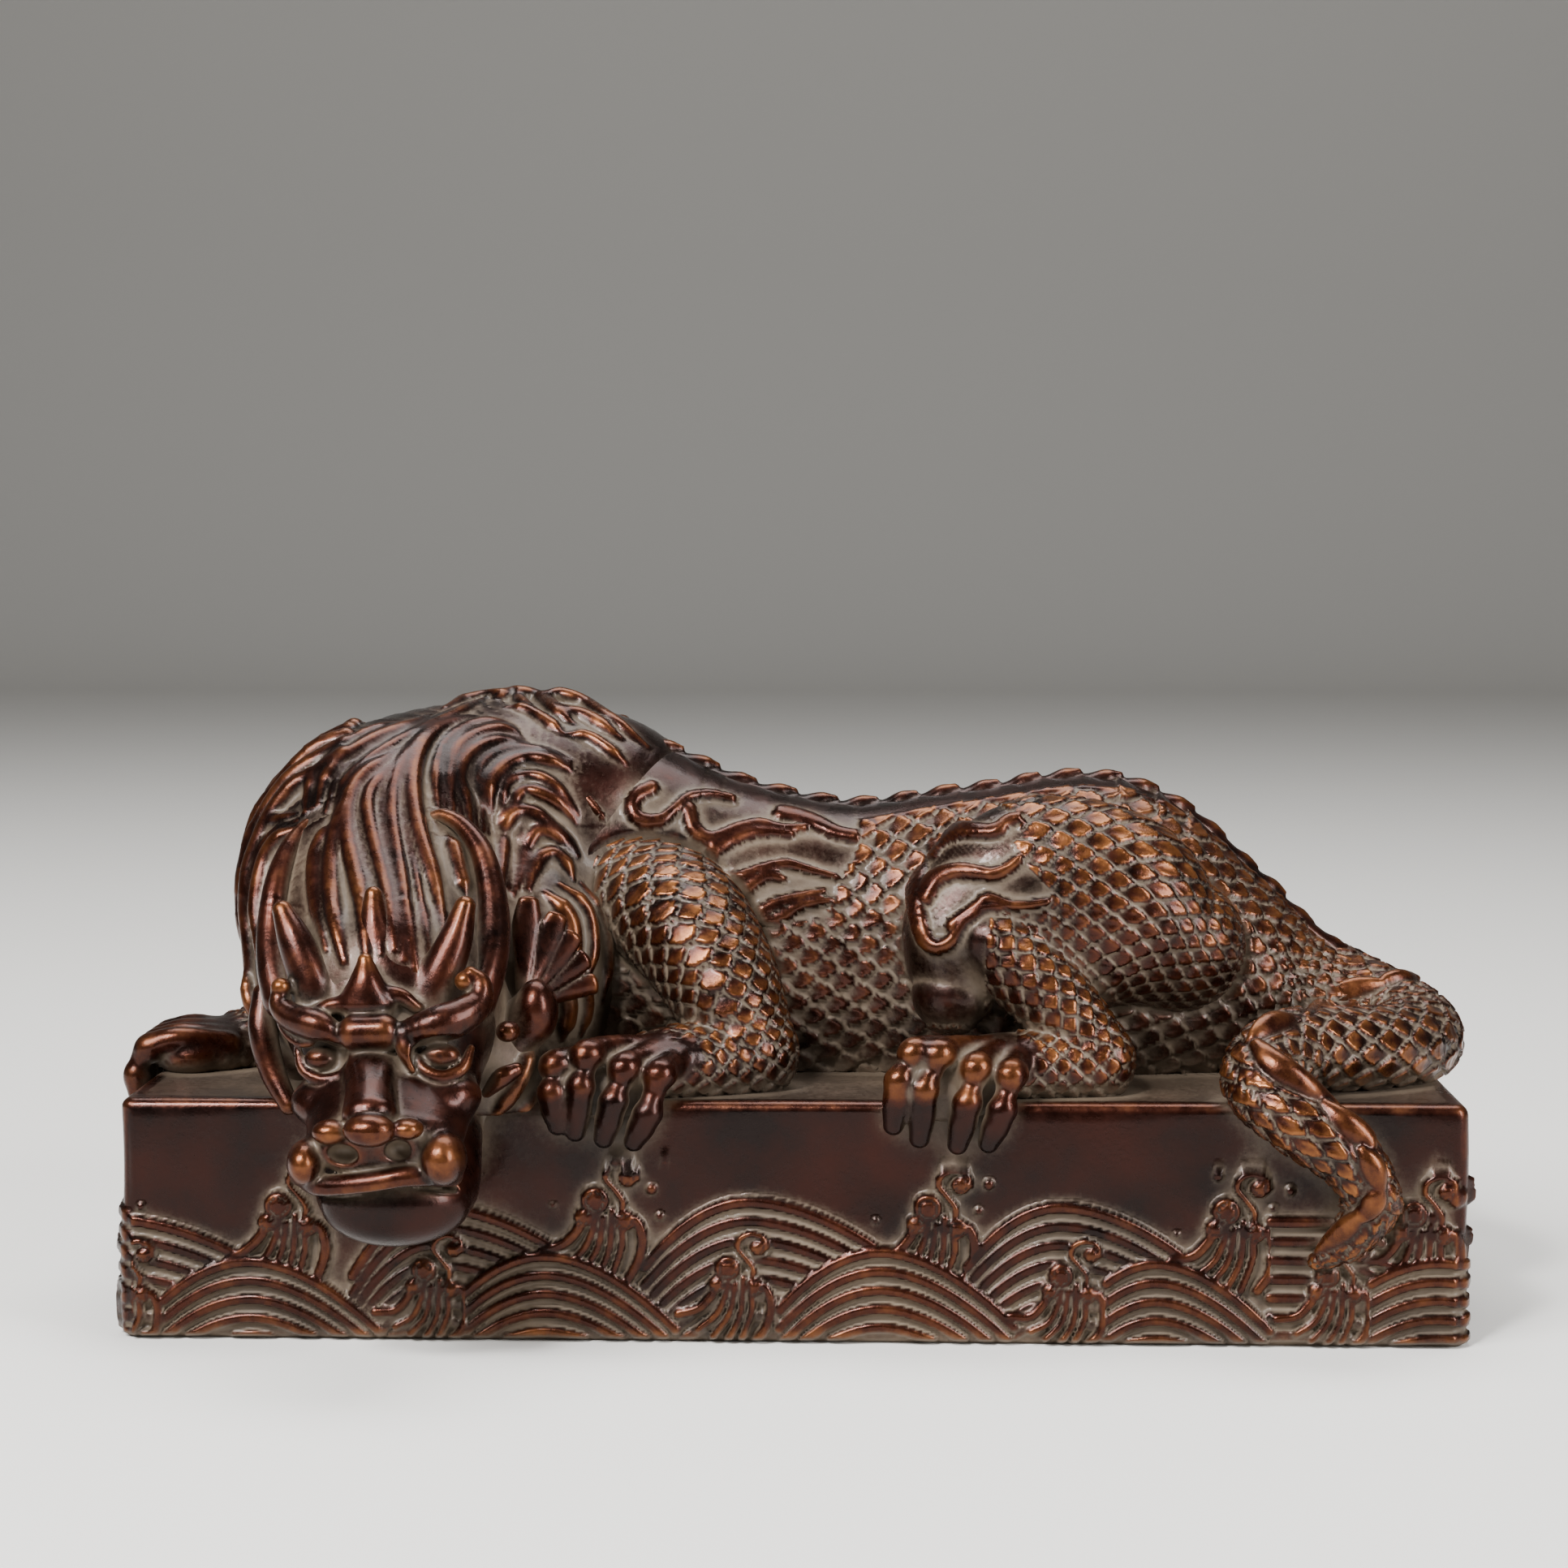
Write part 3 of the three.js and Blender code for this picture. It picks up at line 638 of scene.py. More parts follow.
flames = tongues(np.zeros(len(points)), fu, fv, [
    [(802, 973), (785, 982), (779, 997), (789, 1011), (813, 1012), (831, 999), (848, 984), (874, 981),
     (902, 987)],
    [(848, 1000), (854, 1021), (870, 1034), (887, 1032), (909, 1023), (935, 1017), (961, 1023), (991, 1023)],
    [(878, 1044), (876, 1064), (885, 1077), (904, 1084), (926, 1077), (943, 1071), (969, 1066), (995, 1073),
     (1030, 1082)],
    [(884, 1045), (904, 1034), (926, 1027), (943, 1027), (974, 1030)],
    [(917, 1097), (943, 1080), (965, 1084)],
    [(930, 1129), (952, 1116), (978, 1108), (1015, 1099)],
    [(939, 1142), (965, 1128), (987, 1116), (1022, 1110)],
    [(709, 956), (718, 978), (742, 1008)],
    [(962, 1004), (982, 1008), (1008, 1017), (1034, 1029), (1073, 1032), (1117, 1019), (1156, 1004)],
], 11, 1.0) * (girth > 2) * shoulder
flames = np.maximum(flames, tongues(np.zeros(len(points)), fu, fv, STRAP_FLAMES, 12, 1.1) * strap)
relief = np.where(plain, np.maximum(flames, border), np.maximum(h, border))
# the torso lies a little deeper where a limb covers it, so that its scales don't stand out of the limb
relief -= 1.3 * np.clip(1.2 - covered, 0, 1)
points = points + normal * relief[:, None]
# scales that face up get more of the bright worn colour: real wear with painted top light
painted_top_light = 0.2 + 0.3 * np.clip(normal[:, 2] * 0.8 + 0.3, 0, 1)
cast("torso", points, quads, wear_and_painted_light=np.where(plain, 0.12 + 0.15 * np.clip(flames / 0.6, 0, 1), face * painted_top_light),
     dust_and_painted_shade=np.where(plain, 0.32 * (shoulder | strap) * (flames < 0.2), 0.1 + 0.65 * gap), edges=0.15)

# Hind legs
# A folded hind leg on each side: round thigh, shank and foot, cast with the body. The near thigh carries a
# smooth strap of flames; leaf-shaped scales run over the rest, and four clawed toes grip the plinth's edge.


def toes_at(places, palm, edge=-31.0, mirror=1):
    """The toes of a paw that hangs over the front edge, each from the pixels of its two knobs and its claw
    and the place of its root, with the palm behind them. `mirror` -1 puts the paw on the other edge."""
    turn = np.array([1, mirror, 1])
    forms = [ball(np.array(palm) * turn, (6.2, 1.6, 3.4))]
    for (u1, v1), (u2, v2), (u3, v3), back in places:
        first, second, claw = spot(u1, v1, edge - 1.4), spot(u2, v2, edge - 2.8), spot(u3, v3, edge - 2.2)
        back = np.array(back, float)
        middle = 0.45 * back + 0.55 * first + [0, 0.6, 0.7]
        line = [(back, 1.6), (middle, 1.5), (first, 1.8), (0.5 * (first + second), 1.4), (second, 1.6),
                (0.5 * (second + claw) - [0, 0.2, 0], 1.75), (claw, 1.3)]
        forms.append(tube([[*(place * turn), r] for place, r in line], up=(0.2, 0.95, 0.1), count=30))
        forms.append(ball(first * turn, (2.15, 1.9, 1.75)))
        forms.append(ball(second * turn, (1.85, 1.65, 1.5)))
    return forms


def painted_claw_shade(points):
    """How far each place is down on the claws; wear and dust are taken off there to darken them, a painted
    shade under the hanging claws.
    """
    return np.clip((31.5 - points[:, 2]) / 2, 0, 1) * (np.abs(points[:, 1]) > 29)


def scale_wear_and_top_light(face, normal):
    """The wear of a limb's scales, more on those that look up: real wear with painted top light."""
    return face * (0.25 + 0.3 * np.clip(normal[:, 2] + 0.3, 0, 1))


def claw_wear_and_shade(claws, points):
    """The wear of toes and claws, from the distance to them, lowered on the hanging claws as painted shade.
    """
    return (claws < 0.4) * (0.24 - 0.34 * painted_claw_shade(points))


def hind_parts(side):
    """The thigh, shank, foot and toes of the hind leg on one side, -1 for the near one."""
    thigh = tube([[x, side * y, *rest] for x, y, *rest in THIGH], count=110)
    shank = tube([[25, 18.5 * side, 18.5 + TOP, 5, 6.5], [32, 20.5 * side, 12 + TOP, 4.8, 5.8],
                  [38, 22 * side, 4.6 + TOP, 4.4, 4.8]], up=(0, 1, 0))
    foot = tube([[38, 22.5 * side, 3.4 + TOP, 4.8, 4.4], [31, 24 * side, 3.6 + TOP, 4.8, 4.2],
                 [24.5, 26 * side, 3.9 + TOP, 5.4, 3.8], [20.5, 28.5 * side, 3.6 + TOP, 5.6, 3.0]])
    toes = toes_at([
        ((1128, 1297), (1108, 1331), (1101, 1386), (24, -25.5, 35)),
                    ((1157, 1299), (1139, 1342), (1133, 1402), (26, -25.5, 35.4)),
        ((1203, 1316), (1192, 1359), (1180, 1410), (27.5, -25.5, 35.2)),
                    ((1246, 1324), (1235, 1367), (1218, 1408), (29, -25.5, 34.5))],
        (19.5, -30.6, 31), mirror=-side)
    return thigh, shank, foot, toes


def hind_leg(name, side, step):
    """Makes one hind leg, its surface sculpted on a grid of `step` mm."""
    thigh, shank, foot, toes = hind_parts(side)

    def flesh(p):
        return melt(melt(thigh(p)[0], shank(p)[0], 1.2), foot(p)[0], 1.0)

    def form(p):
        d = flesh(p)
        for toe in toes:
            d = melt(d, toe(p)[0], 0.7)
        return d
    y = sorted((side * 3, side * 38))
    points, quads = sculpt(form, (9, y[0], 24), (60, y[1], 68), step)
    normal = relax(gradient(form, points, 0.5), neighbours(quads, len(points)), 3)
    fits = np.stack([part(points) for part in (thigh, shank, foot)])
    which = np.argmin(fits[:, 0], axis=0)
    claws = np.min([toe(points)[0] for toe in toes], axis=0)
    h, face, gap = np.zeros((3, len(points)))
    lengths = (52 - fits[0, 1], fits[1, 1], 30 - fits[2, 1])
    for k, (row, wide, girth) in enumerate(((2.0, 3.1, 11.5), (1.75, 2.9, 5.5), (1.6, 2.6, 4.5))):
        at = which == k
        h[at], face[at], gap[at] = scales(lengths[k][at], fits[k, 2][at] * girth, row, wide, 0.7, 1.6)
    fu, fv = pixel(points if side < 0 else points * [1, -1, 1])
    smooth = inside(fu, fv, STRAP)
    fore = np.clip((claws - 0.6) / 0.8, 0, 1)
    foot_top = (which == 2) & (points[:, 0] < 28)
    h *= fore * ~smooth * ~foot_top
    flames = tongues(np.zeros(len(points)), fu, fv, STRAP_FLAMES, 12, 1.1)
    flames *= smooth & (which < 2)
    points = points + normal * np.where(smooth, flames, h)[:, None]
    plain = smooth | foot_top
    worn_and_painted_light = np.where(plain, 0.12 + 0.15 * np.clip(flames / 0.6, 0, 1), scale_wear_and_top_light(face * fore, normal))
    # the hanging claws lose wear and dust: painted shade that darkens them
    cast(name, points, quads, wear_and_painted_light=worn_and_painted_light + claw_wear_and_shade(claws, points),
         dust_and_painted_shade=np.where(plain, 0.35 * (flames < 0.2), (0.1 + 0.65 * gap) * fore) - painted_claw_shade(points), edges=0.2)


hind_leg("near_hind_leg", -1, 0.38)
hind_leg("far_hind_leg", 1, 0.6)

# Near foreleg
# The near foreleg folds at the elbow and rests its forearm along the plinth's edge. Broad lens-shaped scales
# lie across the upper arm; the paw hangs over the edge like the others.


def lay(form, pixels, count=14, y=(-48.0, 32.0)):
    """Points on a form along a line of pixels: where each sight line first meets it."""
    pixels = curve(pixels, count)
    depth = np.linspace(*y, 161)
    grid = spot(pixels[:, :1], pixels[:, 1:], depth[None])
    d = form(grid.reshape(-1, 3)).reshape(count, -1)
    row, met = np.arange(count), (d < 0).any(1)
    hit = np.maximum(np.where(met, (d < 0).argmax(1), d.argmin(1)), 1)
    before, after = d[row, hit - 1], d[row, hit]
    share = np.where(met, before / np.maximum(before - after, 1e-6), 1)[:, None]
    path = grid[row, hit - 1] * (1 - share) + grid[row, hit] * share
    path[1:-1] = 0.25 * path[:-2] + 0.5 * path[1:-1] + 0.25 * path[2:]
    return path


def limb_piece(name, parts, toes, low, high, step, patterns, bare=None, k=1.2):
    """One scaled leg with its paw. `patterns` gives for each part the row, width, girth, turn and length."""
    flesh = joined(parts, k)
    form = joined([lambda p: flesh(p)[None]] + toes, 0.7)
    points, quads = sculpt(form, low, high, step)
    normal = gradient(form, points, 0.3)
    fits = np.stack([part(points) for part in parts])
    which = np.argmin(fits[:, 0], axis=0)
    claws = np.min([toe(points)[0] for toe in toes], axis=0)
    h, face, gap = np.zeros((3, len(points)))
    for n, (row, wide, girth, way, point) in enumerate(patterns):
        at = which == n
        h[at], face[at], gap[at] = scales(way * fits[n, 1][at] + 60, fits[n, 2][at] * girth, row, wide, 0.7,
                                          point)
    fore = np.clip((claws - 0.6) / 0.8, 0, 1)
    if bare is not None:
        fore = fore * ~bare(points)
    points = points + normal * (h * fore)[:, None]
    # the hanging claws lose wear and dust: painted shade that darkens them
    cast(name, points, quads, wear_and_painted_light=scale_wear_and_top_light(face * fore, normal) + claw_wear_and_shade(claws, points),
         dust_and_painted_shade=(0.1 + 0.65 * gap) * fore - painted_claw_shade(points), edges=0.2)


upper = tube(UPPER_ARM, up=(0, 1, 0))
forearm = tube([[-5, -20, 4 + TOP, 5.6, 5.4], [-10, -22.5, 3.6 + TOP, 5.4, 5.0],
                [-15, -25, 3.8 + TOP, 5.2, 4.4],
                [-21, -27.5, 3.4 + TOP, 6.0, 3.2]])
limb_piece("near_foreleg", [upper, forearm], toes_at([
    ((686, 1312), (680, 1346), (687, 1386), (-17, -25.5, 34.5)),
                                                      ((724, 1300), (715, 1339), (709, 1394),
                                                       (-16, -25, 35.4)),
    ((770, 1316), (756, 1357), (744, 1402), (-13.5, -25, 35.2)),
                                                      ((813, 1324), (798, 1372), (781, 1406),
                                                       (-11.5, -25, 34.5))],
    (-23, -30.6, 31)), (-36, -38, 24), (6, 6, 66), 0.38,
    [(1.6, 3.8, 8, 1, 2.0), (1.7, 2.6, 5, 1, 1.6)])
# the far paw hangs over the plinth's left end
far_toes = [ball((-78.5, -6, 32), (5.4, 7.6, 3.4))]
for y in (-11.6, -7.8, -4.0, -0.4):
    far_toes += [tube([[-74, 0.5 * y - 3, 33.2, 1.8], [-79.6, y, 34.3, 1.7], [-83.3, y, 33.2, 1.8],
                       [-84.9, y, 31.2, 1.35],
                       [-85.3, y, 29.4, 1.6], [-84.9, y, 25.8, 1.1]], up=(0.9, 0.2, 0.1), count=26),
                 ball((-83.4, y, 33.3), (2.0, 1.95, 1.8)), ball((-85.2, y, 29.6), (1.6, 1.75, 1.6))]
limb_piece("far_foreleg", [
    tube([[-40, 16, 16 + TOP, 9, 10], [-52, 15, 11 + TOP, 8.4, 8.5], [-62, 10, 5.4 + TOP, 7, 6.4],
          [-71, 1, 2.6 + TOP, 6.2, 4.4], [-78, -5, 2 + TOP, 7.4, 3.6]])],
    far_toes, (-90, -19, 20), (-30, 28, 58), 0.54, [(1.9, 3.3, 7, 1, 2.0)])

# Tail
# The tail leaves the rump, swings forward along the plinth's edge and falls over it to a point. A crest of
# smooth plates runs down it, and small leaf-shaped scales cover its sides.

tail_line = tube([
    [71, 5, 36.5, 9.5, 8.5], [79.0, -1, 35.2, 6.6, 6.2], [79.3, -10, 34.6, 5.8, 5.2],
                  [72.5, -17, 34.8, 5.6, 5.0],
    [62, -23.5, 35.4, 5.2, 5], [57.5, -31, 33.2, 4.6, 4.6], [61.5, -34.5, 28.8, 4.4, 3.9],
                  [68, -35, 24, 4.2, 3.6],
    [70.6, -34.5, 18.5, 3.6, 3], [68, -33.5, 14, 2.6, 2.3], [64.5, -32.8, 11.2, 1.1, 1.0]], count=90)
tail_form = joined([tail_line])
plates = []
for pixels, wide, tall in (
        (((1745, 1206), (1720, 1206), (1697, 1211)), 1.3, 0.9),
                           (((1702, 1212), (1660, 1222), (1610, 1250)), 1.6, 1.0),
        (((1590, 1256), (1566, 1266), (1538, 1284)), 1.9, 1.0),
                           (((1549, 1288), (1574, 1316), (1612, 1344), (1655, 1373)), 2.0, 1.3),
        (((1632, 1362), (1655, 1384), (1680, 1404), (1692, 1422)), 1.9, 1.3),
                           (((1678, 1418), (1692, 1440), (1702, 1470)), 1.6, 1.2),
        (((1700, 1462), (1690, 1486), (1666, 1506)), 1.5, 1.1),
                           (((1676, 1496), (1656, 1516), (1622, 1542)), 1.4, 1.1)):
    path = lay(tail_form, pixels, 14)
    swelling = np.sin(np.linspace(0.35, pi - 0.12, 14)) ** 0.7
    plates.append(tube(np.column_stack([path, wide * swelling, tall * (0.35 + 0.65 * swelling)]),
                       up=(0, -1, 0.3), count=24))
points, quads = sculpt(joined([tail_line] + plates, 0.25), (49, -42, 8), (88, 16, 50), 0.36)
normal = gradient(tail_form, points, 0.3)
_, along, angle = tail_line(points)
h, face, gap = scales(along, angle * 4.8, 2.5, 3.0, 0.8, 1.5)
free = np.clip((np.min([plate(points)[0] for plate in plates], axis=0) - 0.2) / 0.5, 0, 1)
points = points + normal * (h * free)[:, None]
cast("tail", points, quads, wear_and_painted_light=face * 0.42 * free + 0.36 * (1 - free), dust_and_painted_shade=0.7 * gap * free, edges=0.25)

# Back ridge
# A row of scutes along the spine, each a smooth lump leaning to the tail, worn bright on top.

xs = np.linspace(-31, 76, 200)
levels = np.linspace(36, 82, 231)
middle = np.interp(xs, [-31, 0, 76], [4.5, 4, 4.5])
grid = np.stack(np.broadcast_arrays(xs[:, None], middle[:, None], levels[None]), -1)
solid = torso(grid.reshape(-1, 3))[0].reshape(200, -1) < 0
spine = np.column_stack([xs, middle, levels[230 - solid[:, ::-1].argmax(1)]])
spine[1:-1] = 0.25 * spine[:-2] + 0.5 * spine[1:-1] + 0.25 * spine[2:]
run = np.concatenate([[0], np.cumsum(np.linalg.norm(np.diff(spine, axis=0), axis=1))])
scutes = []
for n in range(22):
    i = np.searchsorted(run, 2 + n * (run[-1] - 4) / 21)
    centre, ahead = spine[i], spine[min(i + 4, 199)] - spine[i - 4]
    ahead = ahead / np.linalg.norm(ahead)
    raise_by = np.array([-ahead[2], 0, ahead[0]])
    scutes.append(tube([[*(centre - ahead * 3.4 - raise_by * 1.1), 0.7, 0.7],
                        [*(centre - ahead * 1.2 - raise_by * 0.8), 1.5, 1.3],
                        [*(centre + ahead * 1.0 - raise_by * 0.2), 1.4, 1.45],
                        [*(centre + ahead * 2.6 + raise_by * 0.35), 0.5, 0.8]], count=14))
base = tube([[*(p - [0, 0, 1.2]), 1.9, 1.5] for p in spine[::12]], count=60)
ridge_form = joined([base] + scutes, 0.35)
points, quads = sculpt(ridge_form, (-36, -2, 34), (82, 11, 80), 0.37)
above = points[:, 2] - np.interp(points[:, 0], spine[:, 0], spine[:, 2])
cast("back_ridge", points, quads, wear_and_painted_light=0.3 * np.clip(above / 1.2, 0, 1))

# Neck and mane
# The thick neck rises from the shoulders and turns to the front, under a mane of long carved locks that fall
# from the crown to either side and curl at their ends.

neck = tube([[-22, 6, 16 + TOP, 14, 19], [-29, 6, 20.6 + TOP, 17.0, 24.4], [-36, 6, 23.6 + TOP, 18.8, 24.2],
             [-44, 4, 25.8 + TOP, 19.2, 21.6], [-53, -6, 24.8 + TOP, 17.8, 19.2],
             [-51.5, -19, 19 + TOP, 16.4, 15.4], [-50, -29, 14 + TOP, 13.5, 12.4]])
chest = [ball((-34, -9, 13 + TOP), (11, 13, 16)), ball((-39, -28, 4 + TOP), (8, 7, 9)),
         ball((-50, -6, 8 + TOP), (15, 14, 14)),
         ball((-62, -22, 11 + TOP), (4.5, 9, 10))]
neck_form = joined([neck] + chest, 4)
LOCKS = [
    [(376, 1001), (385, 968), (406, 941), (438, 913), (471, 899), (498, 890)],
    [(392, 992), (404, 959), (427, 934), (462, 913), (498, 899), (531, 881)],
    [(413, 1010), (420, 978), (434, 955), (462, 932), (494, 913), (531, 895), (558, 883), (586, 867),
     (623, 853)],
    [(452, 1180), (449, 1130), (441, 1084), (434, 1061), (427, 1024), (429, 992), (438, 968), (457, 950),
     (480, 934), (503, 918)],
    [(486, 1170), (480, 1124), (473, 1088), (464, 1052), (455, 1015), (452, 987), (462, 968), (475, 952),
     (495, 935)],
    [(512, 1195), (503, 1144), (496, 1088), (487, 1038), (482, 1001), (485, 968), (494, 945), (508, 922),
     (526, 904), (554, 890), (577, 883)],
    [(547, 1150), (540, 1107), (526, 1061), (515, 1024), (508, 987), (508, 955), (515, 927), (531, 906),
     (558, 892), (586, 884)],
    [(540, 996), (535, 968), (538, 941), (547, 918), (563, 904), (586, 892), (614, 890), (635, 899)],
    [(558, 1001), (552, 968), (554, 941), (568, 918), (595, 904), (623, 900), (640, 908)],
    [(579, 1015), (572, 987), (563, 964), (568, 941), (590, 922), (620, 914), (650, 918)],
    [(595, 1024), (591, 987), (588, 959), (595, 941), (618, 927), (651, 925), (678, 929), (702, 938)],
    [(608, 1030), (600, 978), (607, 959), (628, 941), (655, 936), (683, 941), (702, 950)],
    [(617, 1010), (618, 985), (623, 964), (646, 957), (669, 960), (692, 978), (711, 1005)],
    [(622, 1020), (634, 985), (650, 975), (670, 980), (690, 992), (708, 1013)],
    [(618, 1088), (618, 1052), (618, 1024), (625, 1008), (640, 1001), (668, 1008), (700, 1040)],
    [(632, 1102), (637, 1070), (639, 1038), (644, 1015), (658, 1008), (678, 1019), (702, 1038), (712, 1054)],
    [(642, 1088), (646, 1061), (655, 1033), (669, 1024), (692, 1038), (708, 1058)],
    [(650, 1095), (662, 1062), (680, 1052), (697, 1066), (706, 1084)],
    [(548, 872), (577, 862), (623, 856), (645, 868), (665, 885)],
         [(610, 862), (640, 856), (669, 865), (688, 881), (706, 892)],
    [(625, 872), (650, 876), (675, 890), (692, 903)], [(660, 858), (688, 856), (715, 864), (743, 882),
                                                       (766, 897), (798, 920)],
    [(672, 872), (697, 880), (715, 882), (738, 893), (765, 910)],
         [(700, 905), (725, 908), (748, 922), (770, 940)],
    [(672, 1100), (700, 1130), (706, 1170), (698, 1215)],
         [(690, 1090), (722, 1120), (730, 1165), (722, 1210)],
    [(716, 1090), (740, 1130), (748, 1180), (742, 1235)], [(690, 1200), (700, 1240), (692, 1280)],
    [(716, 1195), (724, 1235), (716, 1275)], [(655, 1290), (640, 1330), (606, 1380)],
         [(672, 1296), (660, 1340), (632, 1386)],
    [(300, 1150), (304, 1085), (318, 1030), (340, 1012), (366, 1004)],
    [(318, 1180), (318, 1110), (328, 1060), (345, 1034), (368, 1020)],
    [(302, 1200), (310, 1240), (330, 1262)],
    [(402, 1170), (390, 1110), (388, 1058), (400, 1030), (412, 1018)],
    [(424, 1185), (412, 1130), (408, 1080), (412, 1040), (424, 1000), (436, 974)],
    [(400, 1150), (396, 1098), (394, 1065), (402, 1040)],
    [(575, 1110), (566, 1080), (560, 1050), (552, 1030)],
    [(590, 1140), (584, 1100), (576, 1060), (562, 1035)],
]
whole_locks = len(LOCKS)
# finer strands lie between neighbouring locks
for a, b in ((0, 1), (1, 2), (3, 4), (4, 5), (5, 6), (7, 8), (8, 9), (9, 10), (10, 11), (14, 15), (15, 16),
             (31, 32)):
    LOCKS.append([tuple(p) for p in 0.5 * (curve(LOCKS[a], 9) + curve(LOCKS[b], 9))])
crown = joined([(lambda p: neck_form(p)[None]), ball((-48.6, -31.4, 12 + TOP), (13.2, 11.3, 12.5))], 3)
withers = joined([(lambda p: crown(p)[None]), torso], 1)
locks = []
for n, line in enumerate(LOCKS):
    path = lay(withers, line, 16)
    share = np.linspace(0, 1, len(path))
    thick = 1.1 + 0.22 * sin(2.4 * n) if n < whole_locks else 0.6
    radius = thick * np.minimum(1, 0.2 + 3.6 * np.minimum(share + 0.02, 1 - share))
    locks.append(tube(np.column_stack([path, radius]), up=(0.1, -0.6, 0.8), count=36))
# the far and left sides, which the photograph hides, carry plainer locks that fall from the crown
falls = [[(x - 1, 13, 74), (x - 1, 19, 69), (x + 1, 26, 58), (x + 5, 27, 46), (x + 9, 24, 38)]
         for x in np.arange(-66, -22, 3.3)]
falls += [[(-58, y, 73), (-68, y - 1, 64), (-71, y - 3, 54), (-69, y - 6, 44), (-64, y - 8, 37)]
          for y in range(12, -20, -4)]
for fall in falls:
    path = curve(fall, 16)
    for _ in range(4):
        path = path - gradient(crown, path, 0.3) * crown(path)[:, None]
    width = 1.5 * np.minimum(1, 0.3 + 3 * (1 - np.linspace(0, 1, 16)))
    locks.append(tube(np.column_stack([path, width]), up=(0.1, -0.6, 0.8), count=30))
mane_form = joined([(lambda p: crown(p)[None])] + locks, 0.6)
points, quads = sculpt(lambda p: np.maximum(mane_form(p), TOP - 1.5 - p[:, 2]), (-76, -46, 27), (-12, 34, 80),
                       0.47)
between = np.clip(np.min([lock(points)[0] for lock in locks], axis=0) / 0.5, 0, 1)
cast("neck_and_mane", points, quads, wear_and_painted_light=0.2 - 0.16 * between, dust_and_painted_shade=0.34 * between, edges=0.35)

# Head
# The face looks over the plinth's edge: a broad wrinkled muzzle, round nose, bulging lips over a smooth jaw,
# knobbed brows, three short horns, two long ones swept back, and a fan-shaped ear.


def bead(u, v, y, *radii):
    """A rounded lump where the photograph shows it."""
    return ball(spot(u, v, y), radii if len(radii) > 1 else radii * 3)


def strand(stations, up=(0, -0.7, 0.7), count=24):
    """A rounded ridge through places [u, v, y, half width, half height]."""
    return tube([[*spot(u, v, y), *radii] for u, v, y, *radii in stations], up, count)


